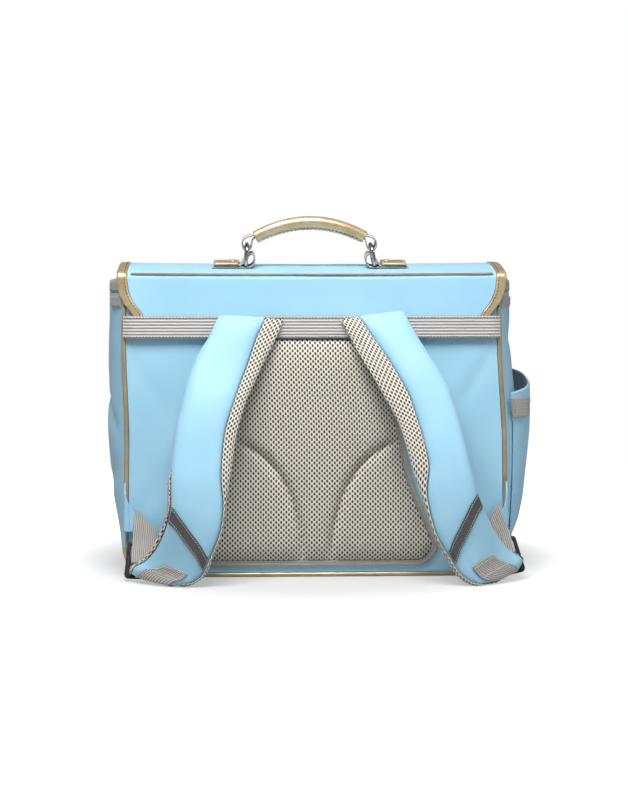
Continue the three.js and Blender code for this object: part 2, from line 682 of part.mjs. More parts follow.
// Each strap from its top to its end: the outer and inner edges as shares of the body's half width,
// the strap's top and its reach, the part of the width that is covered, and its share of thickness.
const strapRows = {
  left: [
    { outerX: 0.504, outerZ: 0.999, outerOut: 0.155, innerX: 0.162, innerZ: 0.986, innerOut: 0.155, from: 0.00, to: 0.72, thick: 0.30 },
    { outerX: 0.528, outerZ: 0.966, outerOut: 0.204, innerX: 0.183, innerZ: 0.945, innerOut: 0.204, from: 0.00, to: 0.71, thick: 0.75 },
    { outerX: 0.550, outerZ: 0.931, outerOut: 0.254, innerX: 0.209, innerZ: 0.904, innerOut: 0.254, from: 0.00, to: 0.71, thick: 1.00 },
    { outerX: 0.622, outerZ: 0.845, outerOut: 0.380, innerX: 0.279, innerZ: 0.807, innerOut: 0.394, from: 0.00, to: 0.78, thick: 1.00 },
    { outerX: 0.659, outerZ: 0.776, outerOut: 0.493, innerX: 0.325, innerZ: 0.738, innerOut: 0.521, from: 0.00, to: 0.80, thick: 1.00 },
    { outerX: 0.691, outerZ: 0.691, outerOut: 0.620, innerX: 0.363, innerZ: 0.675, innerOut: 0.634, from: 0.00, to: 0.81, thick: 1.00 },
    { outerX: 0.725, outerZ: 0.590, outerOut: 0.746, innerX: 0.403, innerZ: 0.579, innerOut: 0.746, from: 0.00, to: 0.80, thick: 1.00 },
    { outerX: 0.747, outerZ: 0.486, outerOut: 0.845, innerX: 0.427, innerZ: 0.480, innerOut: 0.845, from: 0.01, to: 0.82, thick: 1.00 },
    { outerX: 0.757, outerZ: 0.396, outerOut: 0.915, innerX: 0.445, innerZ: 0.396, innerOut: 0.915, from: 0.03, to: 0.86, thick: 1.00 },
    { outerX: 0.760, outerZ: 0.334, outerOut: 0.930, innerX: 0.464, innerZ: 0.305, innerOut: 0.944, from: 0.04, to: 0.95, thick: 1.00 },
    { outerX: 0.764, outerZ: 0.303, outerOut: 0.915, innerX: 0.487, innerZ: 0.203, innerOut: 0.944, from: 0.05, to: 0.97, thick: 1.00 },
    { outerX: 0.772, outerZ: 0.274, outerOut: 0.873, innerX: 0.545, innerZ: 0.095, innerOut: 0.901, from: 0.05, to: 0.97, thick: 1.00 },
    { outerX: 0.794, outerZ: 0.223, outerOut: 0.789, innerX: 0.568, innerZ: 0.053, innerOut: 0.873, from: 0.06, to: 0.97, thick: 0.95 },
    { outerX: 0.843, outerZ: 0.146, outerOut: 0.620, innerX: 0.597, innerZ: 0.031, innerOut: 0.859, from: 0.06, to: 0.97, thick: 0.90 },
    { outerX: 0.902, outerZ: 0.091, outerOut: 0.465, innerX: 0.645, innerZ: 0.012, innerOut: 0.845, from: 0.06, to: 0.97, thick: 0.85 },
    { outerX: 0.961, outerZ: 0.062, outerOut: 0.394, innerX: 0.712, innerZ: 0.004, innerOut: 0.803, from: 0.06, to: 0.97, thick: 0.75 },
    { outerX: 0.971, outerZ: 0.039, outerOut: 0.380, innerX: 0.760, innerZ: 0.005, innerOut: 0.676, from: 0.06, to: 0.97, thick: 0.55 },
  ],
  right: [
    { outerX: 0.469, outerZ: 1.016, outerOut: 0.155, innerX: 0.137, innerZ: 0.984, innerOut: 0.155, from: 0.00, to: 0.70, thick: 0.30 },
    { outerX: 0.504, outerZ: 0.974, outerOut: 0.204, innerX: 0.159, innerZ: 0.957, innerOut: 0.204, from: 0.00, to: 0.69, thick: 0.75 },
    { outerX: 0.534, outerZ: 0.935, outerOut: 0.254, innerX: 0.183, innerZ: 0.923, innerOut: 0.254, from: 0.00, to: 0.68, thick: 1.00 },
    { outerX: 0.597, outerZ: 0.861, outerOut: 0.380, innerX: 0.236, innerZ: 0.849, innerOut: 0.380, from: 0.00, to: 0.64, thick: 1.00 },
    { outerX: 0.650, outerZ: 0.800, outerOut: 0.493, innerX: 0.303, innerZ: 0.770, innerOut: 0.507, from: 0.00, to: 0.64, thick: 1.00 },
    { outerX: 0.697, outerZ: 0.731, outerOut: 0.592, innerX: 0.367, innerZ: 0.687, innerOut: 0.620, from: 0.00, to: 0.64, thick: 1.00 },
    { outerX: 0.737, outerZ: 0.641, outerOut: 0.704, innerX: 0.426, innerZ: 0.608, innerOut: 0.718, from: 0.00, to: 0.68, thick: 1.00 },
    { outerX: 0.774, outerZ: 0.536, outerOut: 0.817, innerX: 0.458, innerZ: 0.536, innerOut: 0.817, from: 0.00, to: 0.69, thick: 1.00 },
    { outerX: 0.802, outerZ: 0.443, outerOut: 0.887, innerX: 0.492, innerZ: 0.447, innerOut: 0.887, from: 0.00, to: 0.72, thick: 1.00 },
    { outerX: 0.817, outerZ: 0.396, outerOut: 0.915, innerX: 0.541, innerZ: 0.334, innerOut: 0.930, from: 0.00, to: 0.90, thick: 1.00 },
    { outerX: 0.826, outerZ: 0.370, outerOut: 0.915, innerX: 0.607, innerZ: 0.192, innerOut: 0.944, from: 0.00, to: 0.96, thick: 1.00 },
    { outerX: 0.844, outerZ: 0.336, outerOut: 0.873, innerX: 0.682, innerZ: 0.095, innerOut: 0.901, from: 0.00, to: 0.96, thick: 1.00 },
    { outerX: 0.878, outerZ: 0.279, outerOut: 0.803, innerX: 0.721, innerZ: 0.049, innerOut: 0.887, from: 0.00, to: 0.96, thick: 0.95 },
    { outerX: 0.919, outerZ: 0.223, outerOut: 0.704, innerX: 0.757, innerZ: 0.025, innerOut: 0.887, from: 0.00, to: 0.96, thick: 0.90 },
    { outerX: 0.974, outerZ: 0.161, outerOut: 0.563, innerX: 0.798, innerZ: 0.008, innerOut: 0.873, from: 0.00, to: 0.96, thick: 0.85 },
    { outerX: 1.036, outerZ: 0.116, outerOut: 0.437, innerX: 0.851, innerZ: 0.001, innerOut: 0.845, from: 0.02, to: 0.96, thick: 0.80 },
    { outerX: 1.092, outerZ: 0.087, outerOut: 0.366, innerX: 0.919, innerZ: 0.005, innerOut: 0.704, from: 0.03, to: 0.96, thick: 0.70 },
    { outerX: 1.087, outerZ: 0.058, outerOut: 0.338, innerX: 0.973, innerZ: 0.020, innerOut: 0.535, from: 0.03, to: 0.96, thick: 0.50 },
  ],
};
for (const rows of Object.values(strapRows)) rows.forEach((row, i) => { row.row = i; });

function strapAt(side, sign, v) {
  const rows = strapRows[side];
  const end = rows.length - 1;
  const read = (column, at = v) => along(rows, "row", Math.min(end, Math.max(0, at)), column);
  const edge = (which, at) => point(
    sign * halfWidth * read(which + "X", at),
    -halfDepth - strapReach * read(which + "Out", at),
    strapTop * read(which + "Z", at),
  );
  const middle = (at) => edge("outer", at).add(edge("inner", at)).multiplyScalar(0.5);
  const [outer, inner] = [edge("outer", v), edge("inner", v)];
  const heading = middle(Math.min(end, v + 0.2)).sub(middle(Math.max(0, v - 0.2)));
  const across = inner.clone().sub(outer);
  const width = across.length();
  across.normalize();
  const out = across.clone().cross(heading).normalize();
  if (out.dot(point(0, -1, 0.4)) < 0) out.negate();
  return {
    outer, across, out, width,
    thickness: strapThickness * read("thick"),
    from: Math.max(0.022, read("from")),
    to: Math.min(0.965, read("to")),
  };
}
const place = (s, share, height) => s.outer.clone()
  .addScaledVector(s.across, share * s.width).addScaledVector(s.out, height);

// Height of the covered face over the strap's middle, w across the cover from 0 to 1.
const coverCrown = (s, w) => (s.thickness / 2) * (1 - 0.75 * Math.abs(2 * w - 1) ** 3.6);
const coverStops = [1, 0.94, 0.8, 0.6, 0.4, 0.2, 0.06, 0];

function coverRing(s) {
  const foot = -s.thickness / 2 + meshShare * s.thickness + 1.5 * gap;
  const at = (w, height) => place(s, mix(s.from + gap / s.width, s.to, w), height);
  return [at(0, foot), at(1, foot), ...coverStops.map((w) => at(w, coverCrown(s, w)))];
}
function meshRing(s) {
  const [half, top] = [s.thickness / 2, -s.thickness / 2 + meshShare * s.thickness];
  const inner = s.to + (1.5 * gap) / s.width;
  const lip = Math.max(top + 0.2, 0.32 * half);
  return [
    place(s, 0, lip - 0.6 * (lip - top) - 0.1), place(s, s.from * 0.4, lip), place(s, s.from, lip),
    place(s, s.from, top), place(s, inner, top),
    place(s, inner, 0.5 * half), place(s, mix(inner, 1, 0.35), 0.62 * half),
    place(s, mix(inner, 1, 0.75), 0.45 * half), place(s, 1, -0.1 * half),
    place(s, mix(inner, 1, 0.6), -0.7 * half), place(s, mix(s.from, inner, 0.8), -half),
    place(s, mix(s.from, inner, 0.2), -half), place(s, 0, -0.75 * half),
  ];
}

// A thin strip lying on the cover. Its spots give a share of the cover's width and a row of the strap.
function strapStrip({ side, sign, spot, across, rowCount }) {
  const surface = (out) => (u, t) => {
    const [w, v] = spot(u, t);
    const s = strapAt(side, sign, v);
    const stop = mix(s.from + gap / s.width, s.to, w);
    return place(s, stop, coverCrown(s, w) + gap + stripLift + out);
  };
  return sheet(surface(thinWall), surface(0), across, steps(rowCount));
}

// Each reflective strip's two long edges: rows of the strap at shares of the cover's width.
const stripEdges = {
  left: [
    { width: 0.04, upper: 9.71, lower: 11.2 }, { width: 0.2, upper: 10.12, lower: 11.06 },
    { width: 0.4, upper: 10.41, lower: 11.14 }, { width: 0.6, upper: 10.58, lower: 11.23 },
    { width: 0.8, upper: 10.71, lower: 11.34 }, { width: 0.96, upper: 10.87, lower: 11.78 },
  ],
  right: [
    { width: 0.04, upper: 10.46, lower: 11.54 }, { width: 0.2, upper: 10.34, lower: 11.3 },
    { width: 0.4, upper: 10.44, lower: 11.25 }, { width: 0.6, upper: 10.52, lower: 11.22 },
    { width: 0.8, upper: 10.58, lower: 11.21 }, { width: 0.96, upper: 10.71, lower: 11.39 },
  ],
};
// The corners of the webbing sewn on each strap's end: two at its start and two at its stop.
const endCorners = {
  left: [
    { width: 0.37, row: 13.34 }, { width: 0.79, row: 12.95 },
    { width: 0.15, row: 15.9 }, { width: 0.93, row: 15.2 },
  ],
  right: [
    { width: 0.375, row: 13.84 }, { width: 0.8, row: 12.85 },
    { width: 0.305, row: 16.7 }, { width: 0.94, row: 15.7 },
  ],
};
for (const { side, sign } of sides) {
  const end = strapRows[side].length - 1;
  const stations = steps(end, 0, end).map((v) => strapAt(side, sign, v));
  add("strap_cover_" + side, loft(stations.map(coverRing)), cloths.blue);
  add("strap_mesh_" + side, loft(stations.map(meshRing)), cloths.mesh);
  const edges = stripEdges[side];
  const read = (w, column) => along(edges, "width", w, column);
  add("reflective_strip_" + side, strapStrip({
    side, sign, across: edges.map((row) => row.width), rowCount: 2,
    spot: (w, t) => [w, mix(read(w, "upper"), read(w, "lower"), t)],
  }), cloths.reflective);
  const [a, b, c, d] = endCorners[side];
  const between = (u, t, column) => mix(mix(a[column], b[column], u), mix(c[column], d[column], u), t);
  add("strap_end_webbing_" + side, strapStrip({
    side, sign, across: steps(4), rowCount: 4,
    spot: (u, t) => [between(u, t, "width"), between(u, t, "row")],
  }), cloths.grey);
}

// Ladder-lock buckles: an open frame with three bars.
function buckle() {
  const [w, l, r] = [buckleWidth / 2, buckleLength / 2, 4];
  const shape = new THREE.Shape();
  shape.moveTo(-w + r, -l);
  shape.lineTo(w - r, -l);
  shape.quadraticCurveTo(w, -l, w, -l + r);
  shape.lineTo(w - 1.5, l - r);
  shape.quadraticCurveTo(w - 1.5, l, w - 1.5 - r, l);
  shape.lineTo(-w + 1.5 + r, l);
  shape.quadraticCurveTo(-w + 1.5, l, -w + 1.5, l - r);
  shape.lineTo(-w, -l + r);
  shape.quadraticCurveTo(-w, -l, -w + r, -l);
  const slot = (low, high) => {
    const hole = new THREE.Path();
    const side = webbingWidth / 2 + 1;
    hole.moveTo(-side, low);
    hole.lineTo(-side, high);
    hole.lineTo(side, high);
    hole.lineTo(side, low);
    hole.closePath();
    shape.holes.push(hole);
  };
  slot(-l + buckleBar, -buckleBar / 2);
  slot(buckleBar / 2, l - buckleBar);
  const geometry = new THREE.ExtrudeGeometry(shape, {
    depth: buckleWall, bevelEnabled: false, curveSegments: 3,
  });
  return geometry.translate(0, 0, -buckleWall / 2).rotateX(Math.PI / 2);
}

// Where each buckle stands, its spin and lean in degrees, and where the webbing above it starts:
// shares of the body's half width, the strap's reach and the strap's top. Its top is cut on a slant.
const buckleRows = {
  left: { x: -0.9, out: 0.232, z: 0.077, spin: 3, lean: 20, tailX: -0.884, tailOut: 0.123, tailZ: 0.229, cut: 0.78 },
  right: { x: 1, out: 0.232, z: 0.082, spin: -13, lean: 20, tailX: 0.935, tailOut: 0.113, tailZ: 0.235, cut: 0.8 },
};
// Each side tab's lowest point and its top at the narrow end as shares of its height, and its length.
const tabRows = { left: { foot: 0.32, neck: 0.6, length: 17 }, right: { foot: 0.485, neck: 0.6, length: 9 } };
for (const { side, sign } of sides) {
  const b = buckleRows[side];
  const frame = new THREE.Group();
  frame.position.set(halfWidth * b.x, -halfDepth - strapReach * b.out, strapTop * b.z);
  frame.rotation.set((-b.lean * Math.PI) / 180, (b.spin * Math.PI) / 180, 0, "YXZ");
  model.add(frame);
  const body = buckle();
  add("buckle_" + side, body, cloths.black, frame);
  frame.updateMatrixWorld(true);

  // The webbing comes down from the side tab, in front of the frame's top bar and back behind it.
  const bar = buckleLength / 2 - buckleBar / 2;
  const loopOut = buckleWall / 2 + gap + webbingWall / 2;
  const local = (up, out) => point(0, -out, bar + up).applyMatrix4(frame.matrixWorld);
  const start = point(halfWidth * b.tailX, -halfDepth - strapReach * b.tailOut, strapTop * b.tailZ);
  const half = buckleBar / 2 + gap + webbingWall / 2;
  const near = local(6, loopOut + 0.3);
  const path = [
    ...steps(4).slice(0, -1).map((k) => start.clone().lerp(near, k)),
    near, local(0.6, loopOut), local(-half + 0.8, loopOut + 0.4), local(-half - 0.5, loopOut - 0.9),
    local(-half - 0.5, 0.9 - loopOut), local(-half + 0.8, -loopOut - 0.4), local(3, -loopOut - 0.1),
  ];
  const upAt = (i) => {
    const before = path[Math.max(0, i - 1)];
    const after = path[Math.min(path.length - 1, i + 1)];
    const heading = after.clone().sub(before).normalize();
    const across = point(1, 0, 0).applyQuaternion(frame.quaternion);
    return across.cross(heading).normalize();
  };
  const stations = stationsOn(path, upAt);
  const outline = bandOutline(webbingWidth, webbingWall, 0.35);
  const rings = carried(stations, outline);
  const down = near.clone().sub(start).normalize();
  rings.slice(0, 3).forEach((ring, i) => ring.forEach((at) => {
    at.addScaledVector(down, -b.cut * sign * (at.x - path[i].x) * (1 - i / 3));
  }));
  add("lower_webbing_" + side, loft(rings), cloths.grey);

  // The tab sewn into the seam beside it, wide at the seam and narrow where the webbing lies on it.
  const seamOut = halfDepth + pipingProud + gap;
  const tab = (u, v) => {
    const { foot, neck, length } = tabRows[side];
    const low = mix(sideTabTop * foot, tabNarrow, Math.min(1, u / 0.12));
    const high = sideTabTop * mix(1, neck, u ** 0.6);
    const turn = Math.min(1, u / 0.3);
    const x = halfWidth - 1.4 - 0.4 * turn - length * Math.max(0, (u - 0.15) / 0.85) ** 1.15;
    const out = seamOut + sideTabReach * Math.sin((turn * Math.PI) / 2);
    return point(sign * x, -out, mix(low, high, v));
  };
  addLeaned("side_tab_" + side, wall(tab, 1.6, [0.001, 0.08, 0.16, 0.24, 0.4, 0.7, 1], steps(3)), cloths.blue);
}

// Handle: a leather grip between two rings, each held by webbing under a riveted leather tab.

// The flap's outer face under the handle, and the frame that lies on it.
const handleY = -halfDepth + handleSetBack;
const crownFace = Math.asin(handleY / crownRadius);
const handleFoot = flapPoint(handleOffset - patchStart, onCrown(crownFace), cloth / 2);
const handle = new THREE.Group();
handle.position.set(handleOffset, handleFoot.y, handleFoot.z);
handle.rotation.x = -crownFace;
model.add(handle);

{
  const path = steps(14, -1, 1).map((t) =>
    point(gripHalfLength * t, 0, gripEndHeight + gripRise * (1 - t * t)));
  const stations = stationsOn(path, () => point(0, 0, 1));
  const rings = stations.map(({ at, across, up }, i) => {
    const t = Math.abs(i / 7 - 1);
    const radius = gripRadius - 0.65 * t * t;
    const outline = steps(10).map((k) => {
      const angle = mix(-75, 255, k) * (Math.PI / 180);
      return [radius * Math.cos(angle), radius * Math.sin(angle)];
    });
    outline.push([-0.9, -radius - gripFin * 0.8], [0.9, -radius - gripFin * 0.8]);
    return outline.map(([a, b]) => at.clone().addScaledVector(across, a).addScaledVector(up, b));
  });
  add("handle_grip", loft(rings), cloths.gold, handle);
}

const barHeight = 0.4 + handleWall + gap + ringWire;
// Outward places of each ring's top and bottom bars from the middle, as shares of the grip's half.
const ringRows = { left: { top: 1.158, bottom: 1.178 }, right: { top: 1.12, bottom: 1.178 } };

// Side views of the webbing loops as outward and upward places from the bar that each goes round.
const gripLoop = [
  { out: -5.9, up: 9.9 }, { out: -2, up: 10 }, { out: 2.2, up: 8.2 }, { out: 4.6, up: 4.2 },
  { out: 4.3, up: -0.6 }, { out: 1.8, up: -3.4 }, { out: -1.8, up: -3.4 }, { out: -4.1, up: -0.8 },
  { out: -4.9, up: 2.8 }, { out: -5.4, up: 6 },
];
const anchorLoop = [
  { out: 34, up: -3.1 }, { out: 20, up: -3.1 }, { out: 6, up: -3.1 }, { out: -3, up: -3.1 },
  { out: -6.6, up: -1.2 }, { out: -8.6, up: 3 }, { out: -8.4, up: 7.6 }, { out: -6.2, up: 10.4 },
  { out: -3.2, up: 9.2 }, { out: -0.4, up: 5.4 }, { out: 2.6, up: 2.7 }, { out: 4.2, up: 0.2 },
  { out: 5.9, up: -1.1 }, { out: 33, up: -1.1 },
];
for (const { side, sign } of sides) {
  const [top, bottom] = [gripHalfLength * ringRows[side].top, gripHalfLength * ringRows[side].bottom];
  const r = ringCorner;
  const ring = [];
  for (const [cy, cz, turn] of [[1, 1, 0], [-1, 1, 1], [-1, -1, 2], [1, -1, 3]]) {
    for (const t of steps(3)) {
      const angle = ((turn + t) * Math.PI) / 2;
      const y = cy * (ringWidth / 2 - r) + r * Math.cos(angle);
      const z = cz * (ringGap / 2 - r) + r * Math.sin(angle);
      const share = (z + ringGap / 2) / ringGap;
      ring.push(point(sign * mix(bottom, top, share), y, barHeight + ringGap / 2 + z));
    }
  }
  const stations = stationsOn(ring, () => point(1, 0, 0), true);
  add("ring_" + side, loft(carried(stations, roundOutline(ringWire, 8)), true), cloths.nickel, handle);

  const loop = (rows, out, height) => {
    const path = rows.map((row) => point(sign * (out + row.out), 0, height + row.up));
    const outline = bandOutline(handleWebbing, handleWall, 0.3);
    const around = stationsOn(path, (i) => {
      const heading = path[Math.min(path.length - 1, i + 1)].clone().sub(path[Math.max(0, i - 1)]);
      return point(0, 1, 0).cross(heading).normalize();
    });
    return loft(carried(around, outline));
  };
  add("grip_webbing_" + side, loop(gripLoop, top, barHeight + ringGap), cloths.grey, handle);
  add("anchor_webbing_" + side, loop(anchorLoop, bottom, barHeight), cloths.grey, handle);

  const patchFoot = barHeight - 1.1 + handleWall / 2 + gap;
  const patch = new THREE.BoxGeometry(patchEnd - patchStart, patchWidth, patchWall);
  const middle = (sign * (patchStart + patchEnd)) / 2;
  add("handle_tab_" + side, patch, cloths.gold, handle)
    .position.set(middle, 0, patchFoot + patchWall / 2);
  const dome = [
    [0, 0], [rivetRadius, 0], [rivetRadius, 0.5], [0.8 * rivetRadius, 1.3], [0.4 * rivetRadius, 1.8], [0, 2],
  ].map(([x, y]) => new THREE.Vector2(x, y));
  const rivet = new THREE.LatheGeometry(dome, 12).rotateX(Math.PI / 2);
  add("rivet_" + side, rivet, cloths.gold, handle)
    .position.set(sign * rivetPlace, 0, patchFoot + patchWall + gap);
}

// Bottle pocket on the right gusset, with a hem round its mouth and a strap laid over it.

// How far the pocket stands off the gusset at each share of its height.
const pocketStand = [
  { rise: 0, stand: 0.05 },
  { rise: 0.07, stand: 0.4 },
  { rise: 0.16, stand: 0.52 },
  { rise: 0.5, stand: 0.52 },
  { rise: 0.72, stand: 0.66 },
  { rise: 0.87, stand: 0.88 },
  { rise: 1, stand: 1.02 },
];
const pocketRim = (u) => pocketTop + pocketRimSlant * u;
function pocketSurface(u, rise) {
  const y = u * pocketHalfDepth;
  const z = mix(pocketFloor, pocketRim(u), rise);
  const face = gussetFace("right", 1, y / gussetHalfDepth, z);
  const stand = along(pocketStand, "rise", Math.min(1, Math.max(0, rise)), "stand");
  const fold = 1.6 * bump(u + 0.35, 0.1) * smooth(rise * 3) * smooth((0.95 - rise) * 4);
  const out = pocketBulge * stand * (1 - Math.abs(u) ** 3.2) - fold;
  return point(face.x + gap + 1.7 + Math.max(0, out), y, z);
}
{
  const hem = 1 - hemHeight / (pocketTop - pocketFloor);
  const thick = (rise) => cloth + (rise > hem ? hemExtra : 0);
  const side = (sign) => (u, rise) => pocketSurface(u, rise)
    .addScaledVector(squareTo(pocketSurface, u, rise), (sign * thick(rise)) / 2);
  const us = steps(12, -1, 1).map((t) => 0.5 * t + 0.5 * Math.sin((t * Math.PI) / 2));
  const rises = [0, 0.03, 0.08, 0.2, 0.38, 0.58, 0.74, hem, hem + 0.02, 1];
  addLeaned("bottle_pocket", sheet(side(1), side(-1), us, rises), cloths.blue);
}
{
  const low = 160;
  const surface = (out) => (u, v) => {
    const rise = (v - pocketFloor) / (pocketRim(u) - pocketFloor);
    const seat = pocketSurface(Math.max(-0.999, u), rise);
    const off = (cloth + hemExtra) / 2 + gap + 0.35 + out;
    const square = squareTo(pocketSurface, Math.max(-0.99, u), rise);
    if (square.x < 0) square.negate();
    return seat.addScaledVector(square, off);
  };
  const us = [-0.97, -0.9, -0.8, -0.7, -0.55, -0.4, -0.25];
  const heights = steps(2, low, low + pocketStrapWidth);
  addLeaned("pocket_strap", sheet(surface(webbingWall), surface(0), us, heights), cloths.grey);
}

export default model;
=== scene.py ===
import math
import bmesh
import bpy
import numpy as np
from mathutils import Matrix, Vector


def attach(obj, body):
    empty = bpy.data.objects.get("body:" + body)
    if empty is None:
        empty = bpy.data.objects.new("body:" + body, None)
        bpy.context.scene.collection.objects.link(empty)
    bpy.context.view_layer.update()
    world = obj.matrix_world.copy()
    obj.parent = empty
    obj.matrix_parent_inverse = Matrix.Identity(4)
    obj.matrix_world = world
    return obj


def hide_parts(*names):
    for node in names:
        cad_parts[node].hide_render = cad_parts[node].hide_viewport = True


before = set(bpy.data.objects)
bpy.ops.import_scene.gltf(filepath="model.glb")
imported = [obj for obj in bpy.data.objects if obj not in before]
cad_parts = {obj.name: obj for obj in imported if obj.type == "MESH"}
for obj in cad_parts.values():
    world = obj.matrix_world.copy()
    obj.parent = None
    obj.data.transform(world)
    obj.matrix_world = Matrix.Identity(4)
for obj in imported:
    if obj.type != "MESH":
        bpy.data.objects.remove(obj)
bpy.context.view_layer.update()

MM = 0.001
rad = math.radians

# Sizes of the satchel in millimetres, as in its solids
body_half, body_depth_half, panel_top, corner_radius = 190.0, 75.0, 284.0, 28.0
panel_wall, cloth, gap = 2.6, 2.2, 0.3
back_bow, front_bow, gusset_bulge, gusset_top = 3.0, 7.0, 20.0, 286.0
piping_radius, piping_proud = 2.3, 1.5
foot_flare, lean_top, lean_foot, lean_from, lean_to = 5.0, -1.8, 2.4, 0.845, 0.458
ridge_height, ridge_radius, crown_height, flap_sag = 306.7, 6.0, 8.4, 1.5
flap_front_end, flap_half, flap_corner = 112.0, 195.0, 42.0
binding_width, binding_wall = 10.5, 3.6
band_bottom, band_height, band_wall, rib_height, rib_count = 241.5, 22.0, 1.3, 0.6, 7
pad_top, pad_floor, pad_half, pad_thickness, pad_corner = 240.0, 11.0, 122.0, 12.0, 24.0
pad_binding_width, pad_binding_wall, pad_rim = 6.5, 3.6, 3.2
pocket_top, pocket_floor, pocket_bulge, pocket_half, rim_slant = 196.0, 38.0, 13.4, 60.0, 11.0
hem_height, hem_extra, pocket_strap_foot, pocket_strap_width = 20.0, 0.9, 160.0, 19.0
panel_round, seam_fade, cord_radius, band_bend = 9.0, 12.0, 1.3, 181.0
gusset_binding_wall, gusset_binding_height = 3.2, 13.0
corner_tab_top, corner_tab_height, corner_tab_depth, corner_tab_wall = 283.0, 11.0, 26.0, 2.0
clasp_place, clasp_half_width, clasp_half_height = 95.0, 13.0, 23.0
strap_thickness, strap_top, strap_reach, mesh_share = 13.0, 264.0, 71.0, 0.3
strip_lift, thin_wall, end_webbing_length = 0.45, 0.8, 36.0
webbing_width, webbing_wall = 24.0, 1.6
buckle_width, buckle_length, buckle_wall, buckle_bar = 36.0, 38.0, 4.2, 4.6
side_tab_top, tab_narrow, side_tab_reach = 97.0, 48.0, 4.2
handle_offset, handle_set_back, grip_half, grip_end, grip_rise = -3.0, 29.0, 55.0, 31.6, 14.5
grip_radius, ring_gap, ring_width, ring_wire, ring_corner = 6.0, 18.0, 28.0, 2.0, 5.0
handle_webbing, handle_wall = 22.0, 1.6
patch_start, patch_end, patch_width, patch_wall, rivet_place, rivet_radius = 71.5, 97.0, 25.0, 1.8, 78.0, 4.0
piping_inset = piping_radius + gap
panel_inset = 2 * piping_radius + 2 * gap
gusset_half = body_depth_half + piping_proud - 2 * piping_radius - gap
rib_pitch = 2.0
sides = (("left", -1), ("right", 1))


# Shapes in numpy

def mix(a, b, t):
    """a at 0, b at 1, on a straight line."""
    return a + (b - a) * t


def smooth(t):
    """Three t squared less two t cubed, held between 0 and 1."""
    t = np.clip(t, 0, 1)
    return t * t * (3 - 2 * t)


def hump(distance, reach):
    """A bell curve: e to the minus square of distance over reach."""
    return np.exp(-(np.asarray(distance) / reach) ** 2)


def ripple(turns):
    """A raised cosine: 0 at whole turns and 1 half way between them."""
    return 0.5 - 0.5 * np.cos(2 * np.pi * turns)


def full_turn(count):
    """So many angles evenly round a circle, from 0."""
    return np.linspace(0, 2 * np.pi, count, endpoint=False)


def drawn_in(ring, share):
    """A ring drawn in towards its own middle."""
    return mix(ring.mean(0), ring, share)


def unit(v):
    """Vectors shortened to a length of 1."""
    return v / np.maximum(np.linalg.norm(v, axis=-1, keepdims=True), 1e-12)


def table(text):
    """Rows of numbers as columns."""
    return np.array([[float(n) for n in row.split()] for row in text.strip().splitlines()]).T


def along(places, values, at):
    """A smooth curve through a table: a cubic in each span, with its slopes from the rows beside it."""
    x, y = np.asarray(places, float), np.asarray(values, float)
    slope = np.empty_like(y)
    slope[1:-1] = (y[2:] - y[:-2]) / (x[2:] - x[:-2])
    slope[0], slope[-1] = (y[1] - y[0]) / (x[1] - x[0]), (y[-1] - y[-2]) / (x[-1] - x[-2])
    at = np.clip(np.asarray(at, float), x[0], x[-1])
    i = np.clip(np.searchsorted(x, at, side="left") - 1, 0, len(x) - 2)
    span = x[i + 1] - x[i]
    t = (at - x[i]) / span
    return ((2 * t**3 - 3 * t**2 + 1) * y[i] + (t**3 - 2 * t**2 + t) * slope[i] * span
            + (3 * t**2 - 2 * t**3) * y[i + 1] + (t**3 - t**2) * slope[i + 1] * span)


def through(points, spacing, closed=False):
    """Evenly spaced points on a smooth curve through the given ones, read along their chord lengths."""
    points = np.asarray(points, float)
    apart = np.linalg.norm(np.diff(points[:, :3], axis=0), axis=1) > 1e-6
    points = points[np.concatenate([[True], apart])]
    if closed:
        points = np.concatenate([points[-3:], points, points[:4]])
    chord = np.concatenate([[0], np.cumsum(np.linalg.norm(np.diff(points[:, :3], axis=0), axis=1))])
    ends = (chord[3], chord[-4]) if closed else (0, chord[-1])
    fine = np.linspace(*ends, max(2000, 4 * len(points)))
    curve = np.stack([along(chord, column, fine) for column in points.T], 1)
    run = np.concatenate([[0], np.cumsum(np.linalg.norm(np.diff(curve[:, :3], axis=0), axis=1))])
    count = max(3, int(round(run[-1] / spacing)) + 1)
    even = np.linspace(0, run[-1], count)
    found = np.stack([np.interp(even, run, column) for column in curve.T], 1)
    return found[:-1] if closed else found


def unevenness(a, b, size, turn=0.0):
    """Soft waves from -1 to 1: four sines across each other, about size millimetres long."""
    total = 0
    for k, (angle, share) in enumerate(((0.3, 1.0), (1.4, 1.27), (2.3, 0.83), (2.9, 1.61))):
        total = total + np.sin((a * math.cos(angle + turn) + b * math.sin(angle + turn)) * 2 * math.pi
                               * share / size + 1.7 * k + 3 * turn)
    return total / 4


def leaned(points):
    """The loaded body's lean: each height is widened towards the foot and moved across."""
    points = np.array(points, float)
    height = points[..., 2] / panel_top
    shift = mix(lean_top, lean_foot, smooth((lean_from - height) / (lean_from - lean_to)))
    points[..., 0] = points[..., 0] * (1 + foot_flare / body_half * (1 - height)) + shift
    return points


def stack(x, y, z):
    """Three arrays as one array of points."""
    return np.stack(np.broadcast_arrays(x, y, z), -1).astype(float)


def matched(*values):
    """Numbers and arrays as arrays of floats that all have one shape."""
    return np.broadcast_arrays(*(np.asarray(value, float) for value in values))


def pair(a, b):
    """Two arrays as one array of pairs."""
    return np.stack(np.broadcast_arrays(a, b), -1)


def crease(a, b, slope, long, wide):
    """A bell-shaped fold along a slanted line: so long and so wide from its middle."""
    turn = math.atan(slope)
    on, off = a * math.cos(turn) + b * math.sin(turn), b * math.cos(turn) - a * math.sin(turn)
    return hump(on, long) * hump(off, wide)


